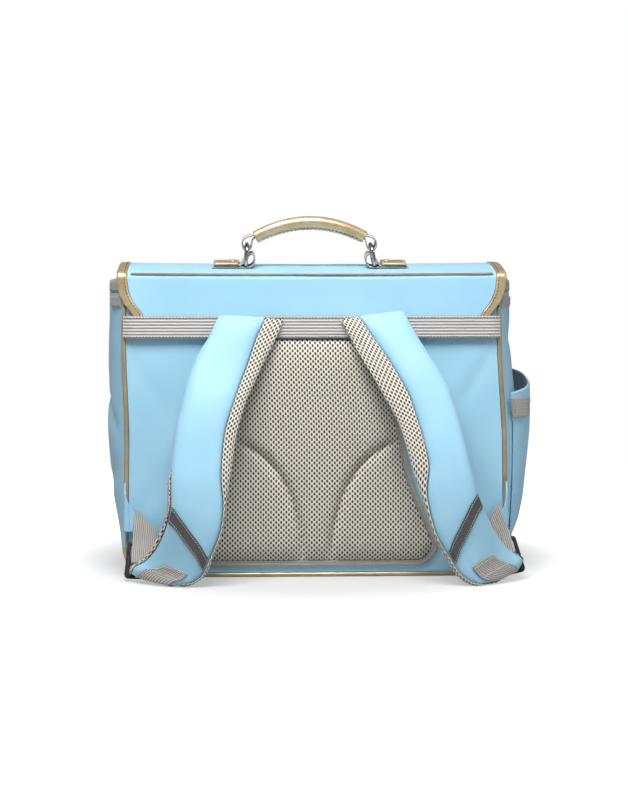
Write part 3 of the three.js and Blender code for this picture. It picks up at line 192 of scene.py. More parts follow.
def square_to(surface, u, v, step=1e-3):
    """The direction square to a surface: the cross product of small steps along u and v."""
    du = surface(u + step, v) - surface(u - step, v)
    dv = surface(u, v + step) - surface(u, v - step)
    return unit(np.cross(du, dv))


def facing_out(surface, u, v, axis=0, sign=1):
    """The direction square to a surface, on the side where the given axis has the given sign."""
    facing = square_to(surface, u, v)
    return facing * np.where(sign * facing[..., axis:axis + 1] < 0, -1, 1)


def quads_of(rows, cols, round_rows=False, round_cols=False):
    """The corners of a grid's quads, and the same corners counted without going round."""
    j, i = np.meshgrid(np.arange(rows - (not round_rows)), np.arange(cols - (not round_cols)), indexing="ij")
    j, i = j.ravel(), i.ravel()
    corners = ((j, i), (j, i + 1), (j + 1, i + 1), (j + 1, i))
    ids = np.stack([(a % rows) * cols + b % cols for a, b in corners], 1)
    flat = np.stack([a * (cols + 1) + b for a, b in corners], 1)
    return ids, flat


def placed(name, data):
    """A new object, linked to the scene."""
    thing = bpy.data.objects.new(name, data)
    bpy.context.scene.collection.objects.link(thing)
    return thing


def make(name, points, quads, quad_uv, material, tris=None, tri_uv=None, sharp=40.0, slot="grey",
         stands_for=None):
    """A piece from points in millimetres. Its volume, the sum of the faces' triple products, has to be
    positive, or all faces are turned. Patterns follow its UV map, also in millimetres. It stands for
    the solid that its name starts with, up to the last word, or for the ones given."""
    points = np.asarray(points, float).reshape(-1, 3)
    tris = np.zeros((0, 3), int) if tris is None else tris
    tri_uv = np.zeros((0, 3, 2)) if tri_uv is None else tri_uv
    fans = np.concatenate([quads[:, [0, 1, 2]], quads[:, [0, 2, 3]], tris])
    a, b, c = (points[fans[:, k]] for k in range(3))
    if np.einsum("ij,ij->", a, np.cross(b, c)) < 0:
        quads, quad_uv, tris, tri_uv = quads[:, ::-1], quad_uv[:, ::-1], tris[:, ::-1], tri_uv[:, ::-1]
    mesh = bpy.data.meshes.new(name)
    mesh.from_pydata((points * MM).tolist(), [], quads.tolist() + tris.tolist())
    layer = mesh.uv_layers.new(name="UVMap")
    layer.data.foreach_set("uv", np.concatenate([quad_uv.reshape(-1), tri_uv.reshape(-1)]).astype(np.float32))
    mesh.polygons.foreach_set("use_smooth", np.ones(len(mesh.polygons), bool))
    mesh.set_sharp_from_angle(angle=rad(sharp))
    mesh.materials.append(material)
    mesh.update()
    piece = placed(name, mesh)
    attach(piece, "root")
    stands_for = [name.rpartition("_")[0]] if stands_for is None else stands_for
    if stands_for:
        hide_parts(*stands_for)
    return piece


def lengths(points):
    """Running lengths along the last grid direction but one, from 0."""
    step = np.linalg.norm(np.diff(points, axis=-2), axis=-1)
    return np.concatenate([np.zeros(step.shape[:-1] + (1,)), np.cumsum(step, axis=-1)], -1)


def sheet(name, front, back, material, uv=None, inside=None, **more):
    """A closed sheet: two grids of points with a strip of quads round their rims. Its back faces may
    have a material of their own."""
    rows, cols = front.shape[:2]
    if uv is None:
        across = lengths(front)
        up = lengths(front.transpose(1, 0, 2)).T
        uv = pair(across - across[:, cols // 2:cols // 2 + 1], up)
    flat_uv = uv.reshape(-1, 2)
    ids, _ = quads_of(rows, cols)
    layer = rows * cols
    number = np.arange(layer).reshape(rows, cols)
    rim = np.concatenate([number[0], number[1:, -1], number[-1, -2::-1], number[-2:0:-1, 0]])
    after = np.roll(rim, -1)
    edge = np.stack([after, rim, rim + layer, after + layer], 1)
    edge_uv = flat_uv[np.stack([after, rim, rim, after], 1)]
    quads = np.concatenate([ids, ids[:, ::-1] + layer, edge])
    quad_uv = np.concatenate([flat_uv[ids], flat_uv[ids[:, ::-1]], edge_uv])
    points = np.concatenate([front.reshape(-1, 3), back.reshape(-1, 3)])
    piece = make(name, points, quads, quad_uv, material, **more)
    if inside is not None:
        piece.data.materials.append(inside)
        for face in piece.data.polygons[len(ids):2 * len(ids)]:
            face.material_index = 1
    return piece


def loft(name, rings, material, closed=False, wide=None, anchor=0, **more):
    """A solid through rings of points. Flat ends are fans round each end ring's middle. The UV map runs
    round each ring from its anchor point, or as wide says, and along the rings' middles."""
    n, k = rings.shape[:2]
    ids, flat = quads_of(n, k, closed, True)
    if wide is None:
        wide = lengths(np.concatenate([rings, rings[:, :1]], 1))
        wide = wide - wide[:, anchor:anchor + 1]
    middle = rings.mean(1)
    if closed:
        middle = np.concatenate([middle, middle[:1]])
        wide = np.concatenate([wide, wide[:1]])
    long = lengths(middle[None])[0][:, None]
    grid = pair(wide, long)
    quad_uv = grid.reshape(-1, 2)[flat]
    points, tris, tri_uv = rings.reshape(-1, 3), None, None
    if not closed:
        i = np.arange(k)
        start = np.stack([(i + 1) % k, i, np.full(k, n * k)], 1)
        end = np.stack([i, (i + 1) % k, np.full(k, n * k + 1)], 1) + [[(n - 1) * k, (n - 1) * k, 0]]
        tris = np.concatenate([start, end])
        points = np.concatenate([points, rings[0].mean(0)[None], rings[-1].mean(0)[None]])
        tri_uv = np.zeros((2 * k, 3, 2)) + grid.reshape(-1, 2)[0]
    return make(name, points, ids, quad_uv, material, tris=tris, tri_uv=tri_uv, **more)


def frames(path, up, closed=False):
    """Heading, across and up at each point of a path: heading from its neighbours, across square to
    heading and to the wished up, and up square to both."""
    if closed:
        heading = np.roll(path, -1, 0) - np.roll(path, 1, 0)
    else:
        heading = np.gradient(path, axis=0)
    heading = unit(heading)
    across = unit(np.cross(heading, np.broadcast_to(np.asarray(up, float), path.shape)))
    return heading, across, np.cross(across, heading)


def carried(path, up, outline, closed=False):
    """An outline of (across, up) pairs carried along a path; it may be one outline or one for each point."""
    _, across, over = frames(path, up, closed)
    outline = np.broadcast_to(outline, (len(path),) + np.shape(outline)[-2:])
    return path[:, None] + outline[..., :1] * across[:, None] + outline[..., 1:] * over[:, None]


def facing_of(path, across):
    """The direction square to a band at each point of its path, from the direction across the band."""
    heading = unit(np.gradient(path, axis=0))
    return unit(np.cross(np.broadcast_to(across, path.shape), heading))


def round_outline(radius, count=14):
    """A circle as (across, up) pairs."""
    t = full_turn(count)
    return pair(radius * np.cos(t), radius * np.sin(t))


def webbing_outline(width, wall, rib=0.22):
    """A flat band's outline: ribs 2 mm apart as a raised cosine on both faces, with round edges. Given
    with it is how far across the band each point lies, for the UV map."""
    ribs = round(width / rib_pitch)
    t = np.linspace(-1, 1, 6 * ribs + 1)
    crest = rib * (0.5 + 0.5 * np.cos(np.pi * (t + 1) * ribs + np.pi))
    height = (wall / 2 - rib + crest) * np.sqrt(np.clip(1 - np.abs(t) ** 16, 0.02, 1))
    x = t * width / 2
    outline = np.concatenate([pair(x, -height), pair(x[::-1], height[::-1])])
    return outline, np.concatenate([outline[:, 0], outline[:1, 0]]) + width / 2


def stitches(name, path, up, material, pitch=3.4, long=2.5, wide=0.75, high=0.5, slot="grey"):
    """Stitches laid end to end: one low bar, six-sided and thinner at its ends, is copied to evenly
    spaced places on the path and turned into the frame there."""
    facing = np.broadcast_to(np.asarray(up, float), path.shape)
    path = through(np.concatenate([path, facing], 1), pitch / 8)
    spots = path[4::8, :3]
    heading, across, over = (f[4::8] for f in frames(path[:, :3], path[:, 3:]))
    s = np.array([-0.5, -0.34, 0.34, 0.5])
    size = np.array([0.35, 1.0, 1.0, 0.35])[:, None] / 2
    t = full_turn(6)
    local = stack((s * long)[:, None], size * wide * np.cos(t), size * high * np.sin(t)).reshape(-1, 3)
    points = (spots[:, None] + local[None, :, :1] * heading[:, None] + local[None, :, 1:2] * across[:, None]
              + local[None, :, 2:] * over[:, None])
    ids, _ = quads_of(4, 6, False, True)
    shape = np.concatenate([ids, [[3, 2, 1, 0], [5, 4, 3, 0]], np.array([[0, 1, 2, 3], [0, 3, 4, 5]]) + 18])
    quads = (shape[None] + 24 * np.arange(len(spots))[:, None, None]).reshape(-1, 4)
    return make(name, points, quads, np.zeros(quads.shape + (2,)), material, sharp=70, slot=slot,
                stands_for=())


# Materials

# The colour sockets of a Mix node, by number, because its other sockets share their names.
mix_low, mix_high, mix_result = 6, 7, 2


def linear(code):
    """The linear colour of an sRGB hex code."""
    parts = [int(code[i:i + 2], 16) / 255 for i in (1, 3, 5)]
    return tuple(c / 12.92 if c < 0.04045 else ((c + 0.055) / 1.055) ** 2.4 for c in parts) + (1.0,)


def add(tree, kind, inputs=None, **settings):
    """A shader node with its settings; an input is a value or another node's output."""
    node = tree.nodes.new("ShaderNode" + kind)
    for key, value in settings.items():
        setattr(node, key, value)
    for key, value in (inputs or {}).items():
        if isinstance(value, bpy.types.NodeSocket):
            tree.links.new(value, node.inputs[key])
        else:
            node.inputs[key].default_value = value
    return node


def start(name, roughness, **shares):
    """A material with its shader's own values, its tree, and its UV map in millimetres."""
    material = bpy.data.materials.new(name)
    material.use_nodes = True
    tree = material.node_tree
    shader = tree.nodes["Principled BSDF"]
    shader.inputs["Roughness"].default_value = roughness
    for key, value in shares.items():
        shader.inputs[key.replace("_", " ")].default_value = value
    uv = add(tree, "UVMap", uv_map="UVMap").outputs["UV"]
    place = add(tree, "TexCoord").outputs["Object"]
    return material, tree, shader, uv, place


def blend(tree, factor, low, high):
    """A colour between two: each is a hex code or another node's output."""
    ends = [linear(end) if isinstance(end, str) else end for end in (low, high)]
    node = add(tree, "Mix", {"Factor": factor, mix_low: ends[0], mix_high: ends[1]}, data_type="RGBA")
    return node.outputs[mix_result]


def spread(tree, value, start_at=0.0, end_at=1.0, low=0.0, high=1.0, kind="LINEAR"):
    """A value's place between start and end, as the same place between low and high."""
    inputs = {"Value": value, "From Min": start_at, "From Max": end_at, "To Min": low, "To Max": high}
    return add(tree, "MapRange", inputs, interpolation_type=kind).outputs["Result"]


def tint(tree, shader, factor, low, high, start_at=0.0, end_at=1.0):
    """The base colour, from low to high as factor rises."""
    colour = blend(tree, spread(tree, factor, start_at, end_at), low, high)
    tree.links.new(colour, shader.inputs["Base Color"])


def gloss(tree, shader, value, low, high):
    """The roughness, from low to high as the value rises."""
    tree.links.new(spread(tree, value, low=low, high=high), shader.inputs["Roughness"])


def relief(tree, shader, height, strength, depth_mm):
    """Bump of a real depth in millimetres."""
    node = add(tree, "Bump", {"Height": height, "Strength": strength, "Distance": depth_mm * MM})
    tree.links.new(node.outputs["Normal"], shader.inputs["Normal"])


def both(tree, operation, a, b):
    """One sum, product or minimum of two values."""
    return add(tree, "Math", {0: a, 1: b}, operation=operation).outputs[0]


def scaled(tree, value, factor, plus):
    """A value times a factor, and another value more."""
    return add(tree, "Math", {0: value, 1: factor, 2: plus}, operation="MULTIPLY_ADD").outputs[0]


def noise(tree, vector, scale, detail):
    """Soft random tones from 0 to 1."""
    return add(tree, "TexNoise", {"Vector": vector, "Scale": scale, "Detail": detail}).outputs["Fac"]


def sine(tree, uv, axis, pitch, phase=0.0):
    """A wave from 0 to 1 along one axis of the UV map, once each pitch millimetres."""
    part = add(tree, "SeparateXYZ", {"Vector": uv}).outputs[axis]
    wave = add(tree, "Math", {0: scaled(tree, part, 2 * math.pi / pitch, phase)}, operation="SINE").outputs[0]
    return scaled(tree, wave, 0.5, 0.5)


def coated_cloth(name, low, high, roughness=0.5):
    """Polyester cloth with a smooth coating: a close plain weave seen as a very fine even grain, a soft
    shine, and slow changes of tone where the cloth is pulled. The threads are 0.5 mm apart and are
    drawn 1.4 mm apart so that they show."""
    material, tree, shader, uv, place = start(name, roughness, Specular_IOR_Level=0.4, Sheen_Weight=0.12,
                                              Sheen_Roughness=0.4)
    slow = noise(tree, place, 16.0, 3.0)
    weave = both(tree, "MULTIPLY", sine(tree, uv, "X", 1.4), sine(tree, uv, "Y", 1.4))
    grain = noise(tree, uv, 1.1, 2.0)
    tint(tree, shader, scaled(tree, grain, 0.25, slow), low, high, 0.35, 0.95)
    gloss(tree, shader, grain, roughness - 0.07, roughness + 0.1)
    relief(tree, shader, both(tree, "ADD", weave, grain), 0.35, 0.12)
    return material


def gold_leather(name, low, high):
    """Leather with a metal foil finish: fine grain, a broad bright shine, and duller specks of worn foil."""
    material, tree, shader, uv, place = start(name, 0.34, Metallic=0.6, Coat_Weight=0.15, Coat_Roughness=0.25)
    grain = add(tree, "TexVoronoi", {"Vector": uv, "Scale": 0.9}, feature="F1").outputs["Distance"]
    worn = noise(tree, place, 60.0, 4.0)
    tint(tree, shader, worn, low, high, 0.3, 0.7)
    gloss(tree, shader, worn, 0.42, 0.26)
    relief(tree, shader, grain, 0.35, 0.18)
    return material


def woven_band(name, low, high, axis="X", pitch=rib_pitch):
    """Polyester webbing: lengthwise ribs across the band, crossed by the short bars of the weft, all matt.
    The tone follows the relief, darkest in the gap at each pitch: painted shade in the grooves, under slow
    random tone."""
    material, tree, shader, uv, _ = start(name, 0.8, Sheen_Weight=0.15, Sheen_Roughness=0.5)
    rib = sine(tree, uv, axis, pitch, -math.pi / 2)
    bars = sine(tree, uv, "Y" if axis == "X" else "X", 1.1)
    thread = scaled(tree, bars, 0.16, rib)
    # Painted shade: the base colour darkens where the ribs and the weft's bars dip, as in the relief.
    tint(tree, shader, scaled(tree, noise(tree, uv, 1.3, 3.0), 0.3, thread), low, high, 0.1, 0.85)
    relief(tree, shader, thread, 0.7, 0.3)
    return material


def spacer_mesh(name, thread_low, thread_high, hole, wide=5.0, tall=5.2):
    """Knitted spacer mesh: cream threads round oval holes in offset rows, 5 mm apart. The threads are round,
    so the edge of each hole falls away; the colour darkens over that edge to dark brown in the hole: painted
    shade."""
    material, tree, shader, uv, _ = start(name, 0.85, Sheen_Weight=0.15)
    part = add(tree, "SeparateXYZ", {"Vector": uv})

    def away(shift):
        """The squared distance from the nearest hole's middle, as shares of the hole's reach."""
        inside = []
        for axis, pitch, reach in (("X", wide, 1.02), ("Y", tall, 1.6)):
            count = scaled(tree, part.outputs[axis], 1 / pitch, shift)
            share = add(tree, "Math", {0: count}, operation="FRACT").outputs[0]
            inside.append(scaled(tree, share, pitch / reach, -0.5 * pitch / reach))
        square = [both(tree, "MULTIPLY", s, s) for s in inside]
        return both(tree, "ADD", *square)

    nearest = both(tree, "MINIMUM", away(0.0), away(0.5))
    rim = spread(tree, nearest, 0.45, 1.5, kind="SMOOTHSTEP")
    fuzz = noise(tree, uv, 2.2, 3.0)
    # Painted shade: from the threads' tone to dark brown inside each hole, over its falling edge.
    colour = blend(tree, rim, hole, blend(tree, fuzz, thread_low, thread_high))
    tree.links.new(colour, shader.inputs["Base Color"])
    height = scaled(tree, fuzz, 0.15, rim)
    relief(tree, shader, height, 0.8, 0.9)
    return material


def speckled(name, low, high, roughness, metallic=0.0, scale=300.0, depth=0.05):
    """Moulded, cast or spun stuff with a fine even grain in its tone and gloss."""
    material, tree, shader, _, place = start(name, roughness, Metallic=metallic)
    fine = noise(tree, place, scale, 3.0)
    tint(tree, shader, fine, low, high, 0.3, 0.7)
    gloss(tree, shader, fine, roughness * 0.85, roughness * 1.15)
    relief(tree, shader, fine, 0.3, depth)
    return material


blue_cloth = coated_cloth("coated blue cloth", "#9fd3ee", "#acdcf4")
lining = coated_cloth("grey lining", "#66747f", "#75838e", 0.7)
gold_foil = gold_leather("foil-finished gold leather", "#c9ad82", "#f0dab4")
gold_cord = gold_leather("foil-finished gold piping", "#b2a180", "#d6c6a2")
# The low tones of the webbings and the binding cloth are painted shade in their grooves.
grey_webbing = woven_band("grey polyester webbing", "#6f6b67", "#c4c0bb")
band_webbing = woven_band("broad grey webbing", "#8f8b87", "#cfcbc8", "Y", 22 / 7)
grey_cloth = woven_band("grey binding cloth", "#8f8d8a", "#bcbab6", "X", 1.1)
# Its last colour is painted shade deep in the mesh's holes.
air_mesh = spacer_mesh("cream spacer mesh", "#d9d2c4", "#f7f2e8", "#4a4338")
reflective = speckled("grey reflective tape", "#4b4c4e", "#5c5d5f", 0.45, 0.1, 900.0)
nickel = speckled("polished nickel", "#a9acaf", "#c3c5c8", 0.14, 1.0, 200.0, 0.01)
acetal = speckled("moulded black acetal", "#161617", "#232324", 0.42)
light_thread = speckled("pale polyester thread", "#c9c7c2", "#e2e0db", 0.6, 0.0, 1500.0)
dark_thread = speckled("brown polyester thread", "#5d4a33", "#735d42", 0.6, 0.0, 1500.0)
grey_thread = speckled("grey polyester thread", "#77746f", "#8d8a85", 0.65, 0.0, 1500.0)
blue_thread = speckled("blue polyester thread", "#7fb2d2", "#92c3e0", 0.6, 0.0, 1500.0)


# Body

def bow_at(x, z):
    """How much a panel bows: one less the square of x's share, times a half sine of the height."""
    return np.maximum(0, 1 - (x / body_half) ** 2) * np.sin(np.pi * np.clip(z / panel_top, 0, 1))


def back_face(x, z):
    """The back panel's outer face."""
    return -body_depth_half - back_bow * bow_at(x, z)


def front_face(x, z):
    """The front panel's outer face."""
    return body_depth_half + front_bow * bow_at(x, z)


def panel_half(z):
    """Half of a panel's width: straight, less a quarter round at the foot and a small one at the top."""
    straight, r = body_half - panel_inset, corner_radius - panel_inset
    low = np.clip((z - panel_inset) / r, 0, 1)
    high = np.clip((z - panel_top + panel_round) / panel_round, 0, 1)
    return straight - r * (1 - np.sqrt(1 - (1 - low) ** 2)) - panel_round * (1 - np.sqrt(1 - high**2))


# Each fold of a panel: its middle, slope, half length, half width and depth.
panel_creases = table("""-165 205 -1.5 34 7 1.3
-140 190 -1.2 40 12 -0.8
168 200 1.6 40 8 1
-160 90 1.2 34 12 0.9
165 80 -1.3 36 10 0.9""").T


def panel_folds(x, z):
    """Soft folds pressed into a panel: bell curves round slanted lines below the band, and slow waves."""
    fold = 0.5 * unevenness(x, z, 150) + 0.25 * unevenness(x, z, 60, 1.0)
    for cx, cz, slope, long, wide, push in panel_creases:
        fold = fold - push * crease(x - cx, z - cz, slope, long, wide)
    return fold


rise = np.concatenate([
    panel_inset + (corner_radius - panel_inset) * (1 - np.cos(np.linspace(0, np.pi / 2, 14))),
    np.linspace(corner_radius, panel_top - panel_round, 90)[1:],
    panel_top - panel_round + panel_round * np.sin(np.linspace(0, np.pi / 2, 8)[1:]),
])
share = np.linspace(-1, 1, 121)
for name, face, out in (("back_panel", back_face, -1), ("front_panel", front_face, 1)):
    x = share[None] * panel_half(rise)[:, None]
    z = rise[:, None] + 0 * x
    beside, above = panel_half(rise)[:, None] - np.abs(x), np.minimum(z - panel_inset, panel_top - z)
    edge = np.clip(beside / seam_fade, 0, 1) * np.clip(above / seam_fade, 0, 1)
    push = out * panel_folds(x * out, z) * edge
    outer = leaned(stack(x, face(x, z) + push, z))
    inner = leaned(stack(x, face(x, z) - out * panel_wall + push, z))
    sheet(name + "_cloth", outer, inner, blue_cloth, slot="blue")

swell = table("""0 0.02
0.12 0.24
0.2 0.47
0.28 0.69
0.38 0.87
0.52 1
0.65 0.9
0.82 0.81
1 0.78""")
# Each fold of a gusset: its middle in shares of depth and height, slope, half length, half width, depth.
gusset_folds = {
    "left": ((-0.42, 0.585, 0.62, 34, 9, 5.5), (-0.55, 0.36, -0.35, 40, 12, 3), (0.4, 0.62, -0.5, 38, 12, 4)),
    "right": ((0.45, 0.62, 0.5, 36, 12, 4), (-0.5, 0.85, -0.4, 26, 10, 2.5)),
}


def gusset_face(side, sign, u, height):
    """A gusset's outer face: a swelling from a table of heights, one less u to the 2.4 across the
    depth, less bell-shaped folds along slanted lines."""
    u, height = matched(u, height)
    y = u * gusset_half
    out = gusset_bulge * along(*swell, height / gusset_top) * (1 - np.abs(u) ** 2.4)
    for depth, level, slope, long, wide, push in gusset_folds[side]:
        fold = crease(y - depth * gusset_half, height - level * gusset_top, slope, long, wide)
        out = out - push * fold * (1 - u**4)
    return stack(sign * (body_half + out), y, height)


def gusset_corner(side, sign, u, t, inset):
    """The quarter round under a gusset: t from 0 at the wall to 1 at the base."""
    wall = gusset_face(side, sign, u, corner_radius)
    extra = (np.abs(wall[..., 0]) - body_half) * (1 - smooth(t))
    r, angle = corner_radius - inset, t * np.pi / 2
    x = sign * (body_half - corner_radius + (r + extra) * np.cos(angle))
    return stack(x, u * gusset_half, corner_radius - r * np.sin(angle))


depth = np.linspace(-1, 1, 61)[None]
for side, sign in sides:
    heights = np.linspace(gusset_top, corner_radius, 110)[:, None]
    turns = np.linspace(0, 1, 16)[1:, None]
    layers = []
    for inset in (0, cloth):
        wall = gusset_face(side, sign, depth, heights)
        soft = 0.45 * (1 - depth**8) * unevenness(depth * gusset_half, heights, 55, sign)
        wall[..., 0] -= sign * (inset - soft)
        layers.append(leaned(np.concatenate([wall, gusset_corner(side, sign, depth, turns, inset)])))
    sheet("gusset_cloth_" + side, *layers, blue_cloth, slot="blue", stands_for=["gusset_" + side])

    proud = (gusset_binding_wall - cloth) / 2
    up = np.linspace(0, 1, 9)[:, None]
    rim = np.sqrt(np.clip(1 - (2 * up - 1) ** 8, 0.05, 1))
    faces = []
    for out in (0.5, -0.5):
        top = gusset_face(side, sign, depth, gusset_top) + 0 * up[..., None]
        top[..., 0] += sign * (proud + gusset_binding_wall * (out * rim - 0.5))
        top[..., 2] = gusset_top + gap + up * (gusset_binding_height - gap)
        faces.append(leaned(top))
    sheet("gusset_binding_" + side + "_tape", *faces, grey_cloth)
    seam = gusset_face(side, sign, np.linspace(-0.95, 0.95, 40), gusset_top)
    seam[:, 0] += sign * (proud + 0.1)
    seam[:, 2] = gusset_top + 2.4
    stitches("gusset_binding_stitches_" + side, leaned(seam), (sign, 0, 0), grey_thread)

    back = np.linspace(0, corner_tab_depth, 20)[None]
    drop = np.linspace(0, corner_tab_height, 10)[:, None]
    rim = np.sqrt(np.clip(1 - (2 * drop / corner_tab_height - 1) ** 10, 0.1, 1))
    tab = []
    for wall in (corner_tab_wall, 0.0):
        face = gusset_face(side, sign, (back - gusset_half) / gusset_half, corner_tab_top - drop)
        face[..., 0] += sign * (gap + 0.2 + wall * rim)
        tab.append(leaned(face))
    sheet("corner_tab_" + side + "_webbing", *tab, grey_cloth)

across = np.linspace(-1, 1, 40)[None] * (body_half - corner_radius - gap)
deep = np.linspace(-1, 1, 16)[:, None] * gusset_half
floor_lift = 0.25 * (1 + unevenness(across, deep, 90))
sheet("base_panel_cloth", leaned(stack(across, deep, 0 * floor_lift)),
      leaned(stack(across, deep, cloth + floor_lift)), blue_cloth, slot="blue")

piping_top = corner_tab_top - corner_tab_height - gap
turn = np.linspace(0, np.pi / 2, 16)
half, r = body_half - piping_inset, corner_radius - piping_inset
for name, sign in (("piping_back", -1), ("piping_front", 1)):
    arc = pair(half - r * (1 - np.cos(turn)), corner_radius - r * np.sin(turn))
    wall = pair(half, np.linspace(piping_top, corner_radius, 60))
    right = np.concatenate([wall[:-1], arc])
    base = pair(np.linspace(half - r, r - half, 60)[1:-1], piping_inset)
    loop = np.concatenate([right, base, right[::-1] * [-1, 1]])
    y = sign * (body_depth_half + piping_proud - piping_radius)
    path = leaned(stack(loop[:, 0], y, loop[:, 1]))
    loft(name + "_cord", carried(path, (0, 1, 0), round_outline(piping_radius)), gold_cord, slot="gold")


# Flap

flap_lift = piping_proud + gap + binding_wall / 2
flap_y = body_depth_half + flap_lift
flap_start = band_bottom + 1.5
crown_half = flap_y - ridge_radius
crown_radius = (crown_half**2 + crown_height**2) / (2 * crown_height)
crown_turn = math.asin(crown_half / crown_radius)
flap_straight = flap_front_end + flap_corner
side_top = ridge_height - ridge_radius
flap_edge = table("""0.792 0.893
0.861 0.917
0.9 0.962
0.939 0.99
0.978 1""")


def row(y, z, face, half, sag, trim=0.0):
    """Rows of the flap's side view: depth, height, facing, half width, share of sag, corner trim."""
    return np.stack(matched(y, z, face, half, sag, trim), -1).reshape(-1, 6)


def on_crown(face):
    """A row on the flap's arched top."""
    return row(crown_radius * np.sin(face), ridge_height + crown_height - crown_radius * (1 - np.cos(face)),
               face, flap_half, 1)


def on_ridge(sign, face):
    """A row on a ridge, the round between the top and a side."""
    return row(sign * (flap_y - ridge_radius) + ridge_radius * np.sin(face),
               ridge_height - ridge_radius + ridge_radius * np.cos(face),
               face, flap_half, 1 - np.abs(face) / (np.pi / 2) * 0.4)


def on_side(sign, z, trim=0.0):
    """A row on an upright side. The back's half width follows its table."""
    half = flap_half * (along(*flap_edge, np.asarray(z) / ridge_height) if sign < 0 else 1)
    return row(sign * flap_y, z, sign * np.pi / 2, half, 0, trim)


def flap_rows(inset):
    """The flap's side view from under the band, over both ridges and down the front to its round corners."""
    r, angle = flap_corner - inset, np.linspace(0, np.pi / 2, 20)[1:]
    return np.concatenate([
        on_side(-1, np.linspace(flap_start, side_top, 36)),
        on_ridge(-1, np.linspace(-np.pi / 2, -crown_turn, 10)[1:]),
        on_crown(np.linspace(-crown_turn, crown_turn, 34)[1:-1]),
        on_ridge(1, np.linspace(crown_turn, np.pi / 2, 10)[:-1]),
        on_side(1, np.linspace(side_top, flap_straight, 44)),
        on_side(1, flap_straight - r * np.sin(angle), r * (1 - np.cos(angle))),
    ])


def flap_point(x, rows, out):
    """A point of the flap: the side view's place, moved out square to it, bowed on the sides and
    sagging in the middle of the top."""
    y, z, face, half, sag, _ = np.moveaxis(rows, -1, 0)
    push = np.where(sag > 0, 0, np.where(y < 0, -back_bow, front_bow) * bow_at(x, z))
    dip = sag * flap_sag * (1 - (x / flap_half) ** 2)
    return stack(x, y + push + out * np.sin(face), z - dip + out * np.cos(face))


cloth_inset = binding_width + gap
rows = flap_rows(cloth_inset)[:, None]
x = np.linspace(-1, 1, 101)[None] * (rows[..., 3] - cloth_inset - rows[..., 5])
rim = np.clip((rows[..., 3] - cloth_inset - rows[..., 5] - np.abs(x)) / 14, 0, 1)
run = lengths(rows[:, 0, :2][None])[0][:, None]
waves = 0.4 * rim * unevenness(x, run, 130, 0.4) * np.clip(run / 12, 0, 1)
sheet("flap_cloth", leaned(flap_point(x, rows, cloth / 2 + waves)),
      leaned(flap_point(x, rows, waves - cloth / 2)), blue_cloth, slot="blue")

outer_rows, inner_rows = flap_rows(0), flap_rows(binding_width)
t = np.linspace(0, 1, 13)
top = 0.5 * np.clip(1 - np.abs(2 * t - 1) ** 5, 0, 1) ** 0.4
section = np.concatenate([pair(t, top), pair(t[-2:0:-1], -top[-2:0:-1])])


def binding_ring(sign, part=section):
    """Rings of the binding at each row of the flap: the outline's across share runs from its inner
    to its outer edge, and its up share is along the flap's facing."""
    a, b = inner_rows[:, None], outer_rows[:, None]
    across, up = part[None, :, 0], part[None, :, 1]
    x = sign * mix(a[..., 3] - binding_width - a[..., 5], b[..., 3] - b[..., 5], across)
    place = b + 0 * across[..., None]
    place[..., 0], place[..., 1] = mix(a[..., 0], b[..., 0], across), mix(a[..., 1], b[..., 1], across)
    return flap_point(x, place, up * binding_wall)


def binding_foot(part=section):
    """Rings of the binding along the flap's lower edge, between its round corners."""
    straight = flap_half - flap_corner
    x = np.linspace(-straight, straight, 70)[1:-1, None]
    across, up = part[None, :, 0], part[None, :, 1]
    place = outer_rows[-1] + np.zeros((len(x), len(part), 1))
    place[..., 1] = mix(inner_rows[-1, 1], outer_rows[-1, 1], across)
    return flap_point(x + 0 * across, place, up * binding_wall)


def binding_loop(part=section):
    """The whole binding, up one side, along the foot and back."""
    return leaned(np.concatenate([binding_ring(-1, part), binding_foot(part), binding_ring(1, part)[::-1]]))


loft("flap_binding_leather", binding_loop(), gold_foil, slot="gold", sharp=60)
seam = binding_loop(np.array([[0.25, 0.5], [0.25, 1.5]]))
up = unit(seam[:, 1] - seam[:, 0])
stitches("flap_binding_stitches", seam[:, 0], up, dark_thread, pitch=3.5, long=2.5, wide=0.8)

for name, sign in (("flap_cord_back", -1), ("flap_cord_front", 1)):
    reach = flap_half - binding_width - 3.5
    x = np.linspace(-reach, reach, 160)
    seat = on_ridge(sign, sign * np.pi / 3.6) + 0 * x[:, None]
    path = leaned(flap_point(x, seat, cloth / 2 + gap + cord_radius))
    loft(name + "_piping", carried(path, (0, 0, 1), round_outline(cord_radius, 10)), grey_webbing)

# Clasps on the front: a bevelled plate, a raised button and a leather tongue's edge, all plain.
for side, sign in sides:
    x0, z0 = sign * clasp_place, flap_front_end + 0.4 * clasp_half_height
    seat = on_side(1, z0 + clasp_half_height)[0]
    front = flap_point(np.array(x0 - sign * clasp_half_width), seat, binding_wall / 2)[1] + gap
    r = np.linspace(0, 1, 30)[None]
    a = full_turn(72)[:, None]
    box = np.abs(np.cos(a)) ** 8 + np.abs(np.sin(a)) ** 8
    rx, rz = np.cos(a) / box**0.125, np.sin(a) / box**0.125
    size = np.interp(r, [0, 0.1, 0.3, 0.36, 0.42, 0.52, 0.58, 1], [0, 0.5, 0.86, 0.93, 1, 1, 0.96, 0])
    rise = np.interp(r, [0, 0.1, 0.22, 0.28, 0.36, 0.42, 0.52, 0.58, 1],
                     [4.5, 4.5, 4.3, 3.0, 2.8, 2.2, 0.6, 0, 0])
    plate = leaned(stack(x0 + clasp_half_width * size * rx, front + rise + 0 * rx,
                         z0 + clasp_half_height * size * rz))
    plate = plate.transpose(1, 0, 2)[1:-1]
    loft("clasp_" + side + "_plate", plate, nickel, slot="nickel", sharp=30)

